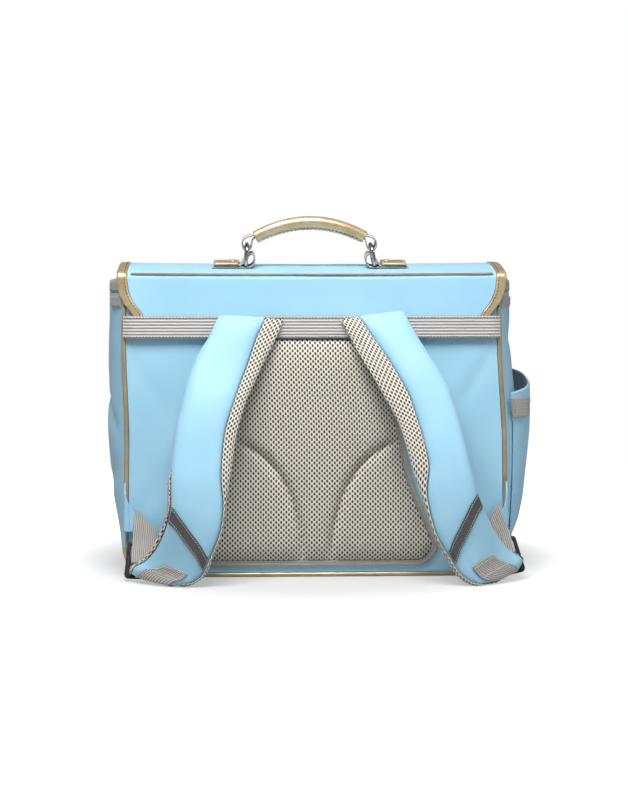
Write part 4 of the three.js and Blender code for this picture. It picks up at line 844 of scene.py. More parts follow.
# Webbing band: ribs as raised cosines, the ends bent back over the piping.
reach = body_half - piping_inset + 0.6
x = np.linspace(-reach, reach, 181)
stand = flap_lift + binding_wall / 2 + gap
off = mix(stand, piping_proud + gap, smooth((np.abs(x) - band_bend) / (reach - band_bend)))
y = -body_depth_half - off - back_bow * bow_at(x, band_bottom) * (np.abs(x) < 0.95 * reach)
level = np.linspace(0, 1, 6 * rib_count + 1)
crest = rib_height * ripple(rib_count * level) * np.clip(np.minimum(level, 1 - level) * 14, 0, 1)
face = stack(x[:, None], y[:, None] - band_wall - crest[None], band_bottom + band_height * level[None])
behind = stack(x[:, None], y[:, None] + 0 * level[None], band_bottom + band_height * level[None])
sheet("webbing_band_ribs", leaned(face), leaned(behind), band_webbing,
      uv=pair(x[:, None], band_height * level[None]))
for name, share in (("top", 0.93), ("foot", 0.07)):
    line = leaned(stack(x, y - band_wall - 0.5, band_bottom + band_height * share))
    stitches("webbing_band_stitches_" + name, line, (0, -1, 0), grey_thread, pitch=3.3, long=2.3, wide=0.9,
             high=0.7)


# Padded back

pad_edge = table("""0.046 1.02
0.125 1
0.208 0.935
0.367 0.81
0.496 0.742
0.646 0.697
1 0.5""")
channels = table("""0.05 0.119
0.15 0.119
0.217 0.139
0.296 0.176
0.375 0.23
0.442 0.307
0.5 0.402
0.546 0.525
0.583 0.672""")


def pad_half_at(z):
    """Half of the pad's width at a height."""
    return pad_half * along(*pad_edge, z / pad_top)


def pad_outline(inset, corner, side):
    """Heights and half widths of the pad: a quarter round at the foot, then the table of widths."""
    turn_z = pad_floor + pad_corner
    a = np.linspace(0, np.pi / 2, corner)
    r = pad_corner - inset
    z = np.linspace(turn_z, pad_top, side)[1:]
    return (np.concatenate([turn_z - r * np.cos(a), z]),
            np.concatenate([pad_half_at(turn_z) - pad_corner + r * np.sin(a), pad_half_at(z) - inset]))


def channel_distance(x, z):
    """The distance to the nearer sewn channel: to points read closely along both curves."""
    h = np.linspace(channels[0, 0], channels[0, -1], 90)
    aside = pad_half * along(*channels, h)
    near = np.full(np.shape(x), 1e9)
    for px, pz in zip(aside, h * pad_top):
        near = np.minimum(near, (np.abs(x) - px) ** 2 + (z - pz) ** 2)
    return np.sqrt(near)


level, half = pad_outline(pad_binding_width + gap, 26, 150)
x = np.linspace(-1, 1, 181)[None] * half[:, None]
z = level[:, None] + 0 * x
edge = np.minimum(np.minimum(half[:, None] - np.abs(x), z - level[0]), pad_top - z)
seam = channel_distance(x, z)
crown = 1 - np.exp(-np.clip(edge, 0, None) / 8.5)
valley = 1 - 0.97 * np.exp(-(seam / 3.7) ** 1.1)
pucker = 0.35 * np.sin(z * 0.62 + np.abs(x) * 0.31) * np.exp(-seam / 7)
soft = pucker + 0.5 * unevenness(x, z, 85, 0.7)
rise = pad_rim + (pad_thickness - pad_rim) * crown * valley + crown * soft
base = back_face(x, z) - gap
pad = sheet("back_pad_mesh", leaned(stack(x, base - rise, z)), leaned(stack(x, base, z)), air_mesh,
            uv=pair(x, z), slot="mesh")

profile = table("""0 0
0 0.5
0.03 0.78
0.12 0.95
0.25 1
0.7 1
0.86 0.9
0.96 0.68
1 0.4
1 0""").T
(ez, eh), (iz, ih) = pad_outline(0, 30, 80), pad_outline(pad_binding_width, 30, 80)


def pad_ring(sign, part):
    """The binding's profile at each height: its across share from the inner to the outer outline."""
    across, up = part[None, :, 0], part[None, :, 1]
    x = sign * mix(ih[:, None], eh[:, None], across)
    z = mix(iz[:, None], ez[:, None], across)
    return stack(x, back_face(x, z) - gap - up * pad_binding_wall, z)


def pad_loop(part):
    """The binding down one side of the pad, round its foot and up the other."""
    return leaned(np.concatenate([pad_ring(-1, part)[::-1], pad_ring(1, part)]))


loft("pad_binding_tape", pad_loop(profile), grey_cloth, sharp=60)
seam = pad_loop(np.array([[0.3, 1.0], [0.3, 2.0]]))
stitches("pad_binding_stitches", seam[:, 0], unit(seam[:, 1] - seam[:, 0]), grey_thread, pitch=3.4, wide=0.7)


# Shoulder straps

columns = ("outer_x", "outer_z", "outer_out", "inner_x", "inner_z", "inner_out", "start", "stop", "thick")
strap_tables = {
    "left": table("""0.504 0.999 0.155 0.162 0.986 0.155 0.00 0.72 0.30
0.528 0.966 0.204 0.183 0.945 0.204 0.00 0.71 0.75
0.550 0.931 0.254 0.209 0.904 0.254 0.00 0.71 1.00
0.622 0.845 0.380 0.279 0.807 0.394 0.00 0.78 1.00
0.659 0.776 0.493 0.325 0.738 0.521 0.00 0.80 1.00
0.691 0.691 0.620 0.363 0.675 0.634 0.00 0.81 1.00
0.725 0.590 0.746 0.403 0.579 0.746 0.00 0.80 1.00
0.747 0.486 0.845 0.427 0.480 0.845 0.01 0.82 1.00
0.757 0.396 0.915 0.445 0.396 0.915 0.03 0.86 1.00
0.760 0.334 0.930 0.464 0.305 0.944 0.04 0.95 1.00
0.764 0.303 0.915 0.487 0.203 0.944 0.05 0.97 1.00
0.772 0.274 0.873 0.545 0.095 0.901 0.05 0.97 1.00
0.794 0.223 0.789 0.568 0.053 0.873 0.06 0.97 0.95
0.843 0.146 0.620 0.597 0.031 0.859 0.06 0.97 0.90
0.902 0.091 0.465 0.645 0.012 0.845 0.06 0.97 0.85
0.961 0.062 0.394 0.712 0.004 0.803 0.06 0.97 0.75
0.971 0.039 0.380 0.760 0.005 0.676 0.06 0.97 0.55"""),
    "right": table("""0.469 1.016 0.155 0.137 0.984 0.155 0.00 0.70 0.30
0.504 0.974 0.204 0.159 0.957 0.204 0.00 0.69 0.75
0.534 0.935 0.254 0.183 0.923 0.254 0.00 0.68 1.00
0.597 0.861 0.380 0.236 0.849 0.380 0.00 0.64 1.00
0.650 0.800 0.493 0.303 0.770 0.507 0.00 0.64 1.00
0.697 0.731 0.592 0.367 0.687 0.620 0.00 0.64 1.00
0.737 0.641 0.704 0.426 0.608 0.718 0.00 0.68 1.00
0.774 0.536 0.817 0.458 0.536 0.817 0.00 0.69 1.00
0.802 0.443 0.887 0.492 0.447 0.887 0.00 0.72 1.00
0.817 0.396 0.915 0.541 0.334 0.930 0.00 0.90 1.00
0.826 0.370 0.915 0.607 0.192 0.944 0.00 0.96 1.00
0.844 0.336 0.873 0.682 0.095 0.901 0.00 0.96 1.00
0.878 0.279 0.803 0.721 0.049 0.887 0.00 0.96 0.95
0.919 0.223 0.704 0.757 0.025 0.887 0.00 0.96 0.90
0.974 0.161 0.563 0.798 0.008 0.873 0.00 0.96 0.85
1.036 0.116 0.437 0.851 0.001 0.845 0.02 0.96 0.80
1.092 0.087 0.366 0.919 0.005 0.704 0.03 0.96 0.70
1.087 0.058 0.338 0.973 0.020 0.535 0.03 0.96 0.50"""),
}


class StrapLine:
    """Edges, width, facing and thickness of a strap at rows v of its table."""

    def __init__(self, side, sign, v):
        rows = strap_tables[side]
        last = rows.shape[1] - 1
        number = np.arange(last + 1)

        def read(name, at):
            """One column of the table at its rows."""
            return along(number, rows[columns.index(name)], np.clip(at, 0, last))

        def edge(which, at):
            """A point of the outer or inner edge, in millimetres."""
            x, out, z = (read(which + end, at) for end in ("_x", "_out", "_z"))
            return stack(sign * body_half * x, -body_depth_half - strap_reach * out, strap_top * z)

        def middle(at):
            """The middle between both edges."""
            return (edge("outer", at) + edge("inner", at)) / 2

        v = np.asarray(v, float)
        self.outer = edge("outer", v)
        span = edge("inner", v) - self.outer
        heading = middle(np.minimum(last, v + 0.2)) - middle(np.maximum(0, v - 0.2))
        self.width = np.linalg.norm(span, axis=-1)
        self.across = unit(span)
        out = unit(np.cross(self.across, heading))
        flip = np.where((out * np.array([0, -1, 0.4])).sum(-1) < 0, -1.0, 1.0)
        self.out = out * flip[..., None]
        self.thick = strap_thickness * read("thick", v)
        self.wrap = np.clip((0.03 - read("start", v)) / 0.02, 0, 1)
        self.start = np.maximum(0.022 * (1 - self.wrap), read("start", v))
        self.stop = np.minimum(0.965, read("stop", v))

    def place(self, share, height):
        """A point at a share of the width from the outer edge, and a height out of the middle."""
        share, height = np.broadcast_arrays(share, height)
        aside = self.across[..., None, :] * (share * self.width[..., None])[..., None]
        return self.outer[..., None, :] + aside + self.out[..., None, :] * height[..., None]

    def cover_share(self, w):
        """A share of the strap's width at a share of the cover's."""
        return mix((self.start + gap / self.width)[..., None], self.stop[..., None], w)

    def foot(self):
        """Where the cover meets the mesh under it."""
        return (-self.thick / 2 + mesh_share * self.thick + 1.5 * gap)[..., None]

    def cover_height(self, w):
        """The cover's face: a rounded rectangle between its foot and the strap's crown. Where the cover
        wraps round the outer edge, its foot there is lower."""
        low = mix(self.foot(), -0.85 * self.thick[..., None] / 2, self.wrap[..., None])
        foot = np.where(np.asarray(w) < 0.5, low, self.foot())
        crown = (self.thick / 2)[..., None]
        return foot + (crown - foot) * np.clip(1 - np.abs(2 * w - 1) ** 3.4, 0, 1) ** 0.42


# Each reflective strip's long edges: shares of the cover's width, and the upper and lower row there.
strip_edges = {
    "left": table("""0.03 9.69 11.22
0.2 10.12 11.06
0.4 10.41 11.14
0.6 10.58 11.23
0.8 10.71 11.34
0.97 10.88 11.8"""),
    "right": table("""0.03 10.47 11.56
0.2 10.34 11.3
0.4 10.44 11.25
0.6 10.52 11.22
0.8 10.58 11.21
0.97 10.72 11.4"""),
}
# Corners of the webbing on each strap's end: shares of the cover's width and rows, two at each end.
end_corners = {
    "left": table("""0.37 13.34
0.79 12.95
0.15 15.9
0.93 15.2"""),
    "right": table("""0.375 13.84
0.8 12.85
0.305 16.7
0.94 15.7"""),
}


def outline_weights(steps, straight):
    """Places on a closed outline with so many steps from each corner to the next, and how much each
    corner counts there: on a cubic through the corners, or on a line in the spans named straight."""
    count = len(steps)
    fine = np.concatenate([np.linspace(a, a + 1, n, endpoint=False) for a, n in enumerate(steps)])
    i, t = np.floor(fine).astype(int), fine % 1
    cubic = ((-t**3 + 2 * t**2 - t) / 2, (3 * t**3 - 5 * t**2 + 2) / 2,
             (-3 * t**3 + 4 * t**2 + t) / 2, (t**3 - t**2) / 2)
    weights = np.zeros((len(fine), count))
    for shift, curved, plain in zip((-1, 0, 1, 2), cubic, (0 * t, 1 - t, t, 0 * t)):
        value = np.where(np.isin(i, straight), plain, curved)
        np.add.at(weights, (np.arange(len(fine)), (i + shift) % count), value)
    return fine, weights


lift = gap + strip_lift
edge_room = 0.045
# The mesh's outline has 13 corners. Its spans under the cover's edges are straight.
knit_fine, knit_weights = outline_weights((3, 2, 2, 6, 2, 6, 6, 6, 6, 5, 6, 5, 4), (1, 2, 3, 4))
for side, sign in sides:
    last = strap_tables[side].shape[1] - 1
    v = np.linspace(0, last, 14 * last + 1)
    line = StrapLine(side, sign, v)
    run = lengths(line.place(np.array([0.5]), np.array([0.0]))[:, 0][None])[0][:, None]
    w = 0.5 - 0.5 * np.cos(np.linspace(0, np.pi, 45))[None]
    seam_side = (1 - w) * line.width[:, None]
    soft = (0.55 * unevenness(run, w * 60, 95, sign) + 0.4 * np.sin(run / 3.1 + sign) * np.exp(-seam_side / 7)
            + 0.25 * np.sin(run / 2.7) * np.exp(-w * line.width[:, None] / 5))
    fade = np.clip(4 * w * (1 - w), 0, 1) * line.thick[:, None] / strap_thickness
    top = line.place(line.cover_share(w), line.cover_height(w) + soft * fade)
    foot_w = np.concatenate([np.linspace(1, edge_room, 12)[1:], [edge_room]])[None]
    foot = np.repeat(line.foot(), foot_w.size, 1)
    foot[:, -1:] = line.cover_height(np.array([[0.0]]))
    under = line.place(line.cover_share(foot_w), foot)
    rings = np.concatenate([top, under], 1)
    first, final = drawn_in(rings[0], 0.9), drawn_in(rings[-1], 0.88)
    first = first + unit(rings[0].mean(0) - rings[3].mean(0)) * 0.8
    final = final + unit(rings[-1].mean(0) - rings[-4].mean(0)) * 0.9
    cover = loft("strap_cover_" + side + "_cloth", np.concatenate([first[None], rings, final[None]]),
                 blue_cloth, slot="blue", sharp=55)

    half = (line.thick / 2)[:, None]
    seat_height = line.foot() - 1.5 * gap
    inner = (line.stop + 1.5 * gap / line.width)[:, None]
    wrap = line.wrap[:, None]
    rim_share = wrap * (edge_room + 0.012)
    start_share = np.maximum(line.start[:, None], rim_share + 0.01)
    lip = mix(np.maximum(seat_height + 0.2, 0.32 * half), seat_height, wrap)
    corners = [
        (rim_share, lip - 0.6 * (lip - seat_height) - 0.1),
        (mix(rim_share, start_share, 0.4), lip),
        (start_share, lip),
        (start_share, seat_height),
        (inner, seat_height),
        (inner, 0.5 * half),
        (mix(inner, 1, 0.35), 0.64 * half),
        (mix(inner, 1, 0.75), 0.47 * half),
        (1 + 0 * half, -0.1 * half),
        (mix(inner, 1, 0.6), -0.72 * half),
        (mix(start_share, inner, 0.8), -half),
        (mix(start_share, inner, 0.2), -half),
        (rim_share, -0.75 * half),
    ]
    share = np.concatenate([c[0] + 0 * half for c in corners], 1)
    height = np.concatenate([c[1] + 0 * half for c in corners], 1)
    mesh_rings = line.place(share @ knit_weights.T, height @ knit_weights.T)
    knit = loft("strap_mesh_" + side + "_lining", mesh_rings, air_mesh,
                anchor=int(np.argmax(knit_fine >= 5)), slot="mesh", sharp=60)

    def on_cover(w, v, out):
        """Places on the strap's cover at shares of its width and rows, moved out."""
        w, v, out = matched(w, v, out)
        part = StrapLine(side, sign, v)
        return part.place(part.cover_share(w[..., None]),
                          part.cover_height(w[..., None]) + out[..., None])[..., 0, :]

    at_w, upper, lower = strip_edges[side]
    sw = np.linspace(0.03, 0.97, 50)[None]
    sv = mix(along(at_w, upper, sw), along(at_w, lower, sw), np.linspace(0, 1, 15)[:, None])
    sheet("reflective_strip_" + side + "_tape", on_cover(sw, sv, lift + thin_wall), on_cover(sw, sv, lift),
          reflective, slot="reflective")
    for end, share in (("upper", 0.13), ("lower", 0.87)):
        w = np.linspace(0.04, 0.96, 60)
        v = mix(along(at_w, upper, w), along(at_w, lower, w), share)
        stitches("reflective_stitches_" + side + "_" + end, on_cover(w, v, lift + thin_wall + 0.15),
                 StrapLine(side, sign, v).out, light_thread, pitch=2.6, long=1.6, wide=0.5, slot="reflective")

    (w_a, w_b, w_c, w_d), (v_a, v_b, v_c, v_d) = end_corners[side]

    def on_end(u, t):
        """A share of the cover's width and a row, at shares across and along the end webbing."""
        return mix(mix(w_a, w_b, u), mix(w_c, w_d, u), t), mix(mix(v_a, v_b, u), mix(v_c, v_d, u), t)

    u, t = np.linspace(0, 1, 73)[None], np.linspace(0, 1, 40)[:, None]
    w, v = on_end(u, t)
    ribs = 0.4 * ripple(u * webbing_width / rib_pitch)
    front, back = on_cover(w, v, lift + thin_wall + ribs), on_cover(w, v, lift)
    sheet("strap_end_webbing_" + side + "_ribs", front, back, grey_webbing,
          uv=pair(u * webbing_width, t * end_webbing_length))
    corners = np.array([[0.07, 0.52], [0.07, 0.07], [0.93, 0.07], [0.93, 0.52], [0.07, 0.52]])
    u, t = np.concatenate([np.linspace(a, b, 20) for a, b in zip(corners, corners[1:])]).T
    w, v = on_end(u, t)
    stitches("strap_end_stitches_" + side, on_cover(w, v, lift + thin_wall + 0.45),
             StrapLine(side, sign, v).out, light_thread, pitch=3.0, long=2.1, wide=0.7)


# Buckles and the webbing through them

# Each buckle's place, spin and lean, where the webbing above it starts, and the slant of its cut end.
buckle_rows = {
    "left": (-0.9, 0.232, 0.077, 3, 20, -0.884, 0.123, 0.229, 0.78),
    "right": (1.0, 0.232, 0.082, -13, 20, 0.935, 0.113, 0.235, 0.8),
}
# Each side tab's lowest point and its top at the narrow end as shares of its height, and its length.
tab_rows = {"left": (0.32, 0.6, 17.0), "right": (0.485, 0.6, 9.0)}


def turned(spin, lean):
    """A turn about X by lean, then about Y by spin."""
    cs, sn, cl, sl = math.cos(rad(spin)), math.sin(rad(spin)), math.cos(rad(lean)), math.sin(rad(lean))
    about_y = np.array([[cs, 0, sn], [0, 1, 0], [-sn, 0, cs]])
    about_x = np.array([[1, 0, 0], [0, cl, -sl], [0, sl, cl]])
    return about_y @ about_x


def rounded_loop(w_top, w_foot, half_l, r, count=10):
    """A four-sided outline with round corners, anticlockwise from the foot's left."""
    corners = ((-w_foot, -half_l, 180), (w_foot, -half_l, 270), (w_top, half_l, 0), (-w_top, half_l, 90))
    points = []
    for cx, cy, first in corners:
        a = np.radians(first + np.linspace(0, 90, count))
        points.append(pair(cx - math.copysign(r, cx) + r * np.cos(a),
                           cy - math.copysign(r, cy) + r * np.sin(a)))
    return np.concatenate(points)


def moulded_frame(name, outlines, thickness, bevel, matrix, place, material, **more):
    """A flat plate with holes: closed outlines filled by Blender's flat curve, given a thickness and
    round edges, made a mesh, and then turned and moved to its place."""
    curve = bpy.data.curves.new(name, "CURVE")
    curve.dimensions, curve.fill_mode = "2D", "BOTH"
    curve.extrude, curve.bevel_depth, curve.bevel_resolution = (thickness / 2 - bevel) * MM, bevel * MM, 3
    curve.offset = -bevel * MM
    for points in outlines:
        spline = curve.splines.new("POLY")
        spline.points.add(len(points) - 1)
        flat = np.column_stack([points * MM, np.zeros(len(points)), np.ones(len(points))])
        spline.points.foreach_set("co", flat.ravel())
        spline.use_cyclic_u = True
    holder = placed(name + "_outline", curve)
    filled = holder.evaluated_get(bpy.context.evaluated_depsgraph_get())
    mesh = bpy.data.meshes.new_from_object(filled)
    bpy.data.objects.remove(holder)
    flat = np.empty(3 * len(mesh.vertices))
    mesh.vertices.foreach_get("co", flat)
    flat = flat.reshape(-1, 3) / MM
    standing = stack(flat[:, 0], -flat[:, 2], flat[:, 1])
    faces = [tuple(p.vertices) for p in mesh.polygons]
    points = standing @ matrix.T + place
    tris = np.array([f for f in faces if len(f) == 3], int).reshape(-1, 3)
    quads = np.array([f for f in faces if len(f) == 4], int).reshape(-1, 4)
    uv = flat[:, :2]
    piece = make(name, points, quads, uv[quads], material, tris=tris, tri_uv=uv[tris], sharp=50, **more)
    work = bmesh.new()
    work.from_mesh(piece.data)
    bmesh.ops.remove_doubles(work, verts=work.verts, dist=1e-5)
    bmesh.ops.recalc_face_normals(work, faces=work.faces)
    work.to_mesh(piece.data)
    work.free()
    return piece


for side, sign in sides:
    bx, bout, bz, spin, lean, tx, tout, tz, cut = buckle_rows[side]
    tab_low, tab_neck, tab_length = tab_rows[side]
    middle = np.array([body_half * bx, -body_depth_half - strap_reach * bout, strap_top * bz])
    matrix = turned(spin, -lean)
    slot_half = webbing_width / 2 + 1
    low, high = -buckle_length / 2 + buckle_bar, buckle_length / 2 - buckle_bar
    slots = [rounded_loop(slot_half, slot_half, (a - b) / 2, 1.0, 5) + [0, (a + b) / 2]
             for a, b in ((-buckle_bar / 2, low), (high, buckle_bar / 2))]
    outline = rounded_loop(buckle_width / 2 - 1.5, buckle_width / 2, buckle_length / 2, 4)
    moulded_frame("buckle_" + side + "_moulding", [outline] + slots, buckle_wall, 0.8, matrix, middle,
                  acetal, slot="black")

    bar = buckle_length / 2 - buckle_bar / 2
    loop_out = buckle_wall / 2 + gap + webbing_wall / 2

    def local(up, out):
        """A point up and out from the middle of the buckle's upper bar."""
        return matrix @ np.array([0, -out, bar + up]) + middle

    first = np.array([body_half * tx, -body_depth_half - strap_reach * tout, strap_top * tz])
    half = buckle_bar / 2 + gap + webbing_wall / 2
    near = local(6, loop_out + 0.3)
    knots = np.array([mix(first, near, k) for k in (0, 0.25, 0.5, 0.75)] + [
        near, local(0.6, loop_out), local(-bar / 2, loop_out), local(-bar - half + 0.8, loop_out + 0.4),
        local(-bar - half - 0.5, loop_out - 0.9), local(-bar - half - 0.5, 0.9 - loop_out),
        local(-bar - half + 0.8, -loop_out - 0.4), local(3 - bar, -loop_out - 0.1)])
    path = through(knots, 0.7)
    up = facing_of(path, matrix @ np.array([1.0, 0, 0]))
    outline, wide = webbing_outline(webbing_width, webbing_wall)
    band = carried(path, up, outline)
    fading = np.clip(1 - lengths(path[None])[0] / (0.75 * np.linalg.norm(near - first)), 0, 1)[:, None]
    band = band - (cut * sign * (band[..., 0] - path[:, None, 0]) * fading)[..., None] * unit(near - first)
    loft("lower_webbing_" + side + "_band", band, grey_webbing, wide=wide[None] + 0 * fading, sharp=60)

    def tab(u, v):
        """The side tab: it leaves the seam, turns forward over a quarter wave and narrows inwards."""
        u, v = matched(u, v)
        low = mix(side_tab_top * tab_low, tab_narrow, np.minimum(1, u / 0.12))
        high = side_tab_top * mix(1, tab_neck, u**0.6)
        bend = np.minimum(1, u / 0.3)
        x = body_half - 1.4 - 0.4 * bend - tab_length * np.clip((u - 0.15) / 0.85, 0, None) ** 1.15
        out = body_depth_half + piping_proud + gap + side_tab_reach * np.sin(bend * np.pi / 2)
        return stack(sign * x, -out, mix(low, high, v))

    u, v = np.linspace(0.001, 1, 50)[None], np.linspace(0, 1, 24)[:, None]
    normal = square_to(tab, u, v)
    sheet("side_tab_" + side + "_cloth", leaned(tab(u, v) + 0.8 * normal), leaned(tab(u, v) - 0.8 * normal),
          blue_cloth, slot="blue")
    edge_v = np.linspace(0.05, 0.95, 30)
    seam, facing = tab(0.4, edge_v), facing_out(tab, 0.4, edge_v, axis=1, sign=-1)
    stitches("side_tab_stitches_" + side, leaned(seam + 0.9 * facing), facing, blue_thread, slot="blue")


# Handle

handle_y = -body_depth_half + handle_set_back
crown_face = math.asin(handle_y / crown_radius)
foot_point = flap_point(np.array(handle_offset - patch_start), on_crown(crown_face)[0], cloth / 2)
lean_cos, lean_sin = math.cos(crown_face), math.sin(crown_face)
tilt = np.array([[1, 0, 0], [0, lean_cos, lean_sin], [0, -lean_sin, lean_cos]])
handle_place = np.array([handle_offset, foot_point[1], foot_point[2]])


def on_handle(points):
    """From the handle's own frame, which lies on the flap's top, to the satchel's."""
    return np.asarray(points, float) @ tilt.T + handle_place


t = np.linspace(-1, 1, 121)
path = stack(grip_half * t, 0, grip_end + grip_rise * (1 - t * t))
angle = np.radians(np.linspace(-62, 242, 34))
radius = (grip_radius - 0.65 * t * t)[:, None]
fin = np.array([[-1.25, -1.0], [-0.95, -1.27], [0, -1.33], [0.95, -1.27], [1.25, -1.0]])
bumps = (1 + 0.05 * np.sin(t * grip_half * 2 * np.pi / 4.2))[:, None]
outline = np.concatenate([
    pair(radius * np.cos(angle), radius * np.sin(angle)),
    pair(fin[None, :, 0] + 0 * radius, fin[None, :, 1] * radius * bumps)], 1)
_, across, over = frames(path, (0, 0, 1))
rings = carried(path, (0, 0, 1), outline)
closing = ((0.5, 1.2), (0.82, 0.9), (0.95, 0.5))
left_end = [drawn_in(rings[0], k) - np.array([m, 0, 0]) for k, m in closing]
right_end = [drawn_in(rings[-1], k) + np.array([m, 0, 0]) for k, m in closing[::-1]]
grip = np.concatenate([left_end, rings, right_end])
loft("handle_grip_leather", on_handle(grip), gold_foil, slot="gold", sharp=50)
for name, offset in (("back", 1), ("front", -1)):
    line = path + offset * 1.6 * across - radius * over
    stitches("handle_grip_stitches_" + name, on_handle(line[4:-4]), tilt @ np.array([0, -offset, -0.3]),
             dark_thread, pitch=4.2, long=2.6, wide=0.8, slot="gold")

bar_height = 0.4 + handle_wall + gap + ring_wire
ring_rows = {"left": (1.158, 1.178), "right": (1.12, 1.178)}
grip_loop = table("""-11 12.4
-5.9 10.6
-2 10.2
2.2 8.2
4.6 4.2
4.3 -0.6
1.8 -3.4
-1.8 -3.4
-4.1 -0.8
-4.9 2.8
-6.2 6.4
-10 9.6""").T
anchor_loop = table("""34 -3.1
20 -3.1
6 -3.1
-3 -3.1
-6.6 -1.2
-8.6 3
-8.4 7.6
-6.2 10.4
-3.2 9.2
-0.4 5.4
2.6 2.7
4.2 0.2
5.9 -1.1
33 -1.1""").T
for side, sign in sides:
    ring_top, ring_foot = (grip_half * n for n in ring_rows[side])
    a = np.radians(np.linspace(0, 90, 9))
    loop = []
    for cy, cz, quarter in ((1, 1, 0), (-1, 1, 1), (-1, -1, 2), (1, -1, 3)):
        y = cy * (ring_width / 2 - ring_corner) + ring_corner * np.cos(a + quarter * np.pi / 2)
        z = cz * (ring_gap / 2 - ring_corner) + ring_corner * np.sin(a + quarter * np.pi / 2)
        loop.append(stack(sign * mix(ring_foot, ring_top, (z + ring_gap / 2) / ring_gap), y,
                          bar_height + ring_gap / 2 + z))
    path = through(np.concatenate(loop), 1.6, closed=True)
    wire = carried(path, (1, 0, 0), round_outline(ring_wire, 20), closed=True)
    loft("ring_" + side + "_wire", on_handle(wire), nickel, closed=True, slot="nickel")

    for kind, bends, out, height in (("grip_webbing", grip_loop, ring_top, bar_height + ring_gap),
                                     ("anchor_webbing", anchor_loop, ring_foot, bar_height)):
        knots = stack(sign * (out + bends[:, 0]), 0, height + bends[:, 1])
        path = through(knots, 0.7)
        up = facing_of(path, [0.0, 1, 0])
        outline, wide = webbing_outline(handle_webbing, handle_wall)
        if kind == "grip_webbing":
            run = lengths(path[None])[0]
            narrow = mix(0.36, 1, smooth((np.minimum(run, run[-1] - run) - 3) / 7))
            outline = outline[None] * stack(narrow[:, None], 1 + 0 * narrow[:, None], 0)[..., :2]
        loft(kind + "_" + side + "_band", on_handle(carried(path, up, outline)), grey_webbing,
             wide=wide[None] + np.zeros((len(path), 1)), sharp=60)

    patch_foot = bar_height - 1.1 + handle_wall / 2 + gap
    middle = sign * (patch_start + patch_end) / 2
    outline = rounded_loop(patch_width / 2, patch_width / 2, (patch_end - patch_start) / 2, 2.5)[:, ::-1]
    laid = tilt @ np.array([[1.0, 0, 0], [0, 0, 1.0], [0, -1.0, 0]])
    moulded_frame("handle_tab_" + side + "_leather", [outline], patch_wall, 0.6, laid,
                  on_handle([middle, 0, patch_foot + patch_wall / 2]), gold_foil, slot="gold")
    rim_half, rim_long = patch_width / 2 - 2, (patch_end - patch_start) / 2 - 2
    rim = rounded_loop(rim_half, rim_half, rim_long, 2)[:, ::-1]
    rim = np.concatenate([rim, rim[:1]])
    stitches("handle_tab_stitches_" + side,
             on_handle(stack(middle + rim[:, 0], rim[:, 1], patch_foot + patch_wall + 0.1)),
             tilt @ np.array([0, 0, 1.0]), light_thread, pitch=3.0, long=2.0, wide=0.7, slot="gold")

    s = np.array([0, 0.25, 0.5, 0.7, 0.85, 0.95, 1.0, 1.0, 0.95])
    r = np.array([0.02, 0.28, 0.55, 0.75, 0.9, 0.98, 1.0, 1.0, 0.9]) * rivet_radius
    h = np.array([2.0, 1.93, 1.72, 1.42, 1.1, 0.8, 0.5, 0.15, 0.0])
    a = full_turn(32)[None]
    rise = patch_foot + patch_wall + gap + h[:, None] + 0 * a
    dome = stack(sign * rivet_place + r[:, None] * np.cos(a), r[:, None] * np.sin(a), rise)
    loft("rivet_" + side + "_dome", on_handle(dome), gold_foil, slot="gold")


# Bottle pocket

pocket_stand = table("""0 0.05
0.07 0.4
0.16 0.52
0.5 0.52
0.72 0.66
0.87 0.88
1 1.02""")


def pocket_rim(u):
    """The height of the pocket's rim, which slants."""
    return pocket_top + rim_slant * u


def pocket_surface(u, rise):
    """The pocket's middle: the gusset's face moved out by a table of heights times one less u to the
    3.2, less one upright fold."""
    u, rise = matched(u, rise)
    y = u * pocket_half
    z = mix(pocket_floor, pocket_rim(u), rise)
    face = gusset_face("right", 1, y / gusset_half, z)
    stand = along(*pocket_stand, np.clip(rise, 0, 1))
    fold = 3.4 * hump(u + 0.6, 0.08) * smooth(rise * 3) * smooth((0.9 - rise) * 5)
    out = pocket_bulge * stand * (1 - np.abs(u) ** 3.2) - fold
    return stack(face[..., 0] + gap + 1.7 + np.maximum(0, out), y, z)


u = np.sin(np.linspace(-1, 1, 90) * np.pi / 2)[None] * 0.5 + 0.5 * np.linspace(-1, 1, 90)[None]
hem = 1 - hem_height / (pocket_top - pocket_floor)
near_hem, near_rim = hem + np.array([-0.008, -0.002, 0.002, 0.008]), 1 - np.array([0.01, 0.004])
level = np.unique(np.concatenate([np.linspace(0, 1, 80), near_hem, near_rim]))[:, None]
normal = facing_out(pocket_surface, np.clip(u, -0.995, 0.995), np.clip(level, 0.002, 0.998))
rim = np.sqrt(np.clip(1 - (np.clip(level - 0.985, 0, 1) / 0.016) ** 2, 0.15, 1))
thick = (cloth + hem_extra * smooth((level - hem) / 0.02 + 0.5)) * rim
middle = pocket_surface(u, level)
middle[..., 0] += 0.35 * unevenness(u * 60, level * 160, 50) * smooth(level * 6) * (1 - np.abs(u) ** 4)
sheet("bottle_pocket_cloth", leaned(middle + normal * (thick / 2)[..., None]),
      leaned(middle - normal * (thick / 2)[..., None]), blue_cloth, inside=lining, slot="blue")
for name, share in (("hem", hem + 0.012), ("rim", 0.985)):
    line_u = np.linspace(-0.96, 0.96, 120)
    line = pocket_surface(line_u, share)
    facing = facing_out(pocket_surface, line_u, share)
    line = line + facing * (cloth + hem_extra) / 2
    stitches("pocket_stitches_" + name, leaned(line), facing, blue_thread, slot="blue")

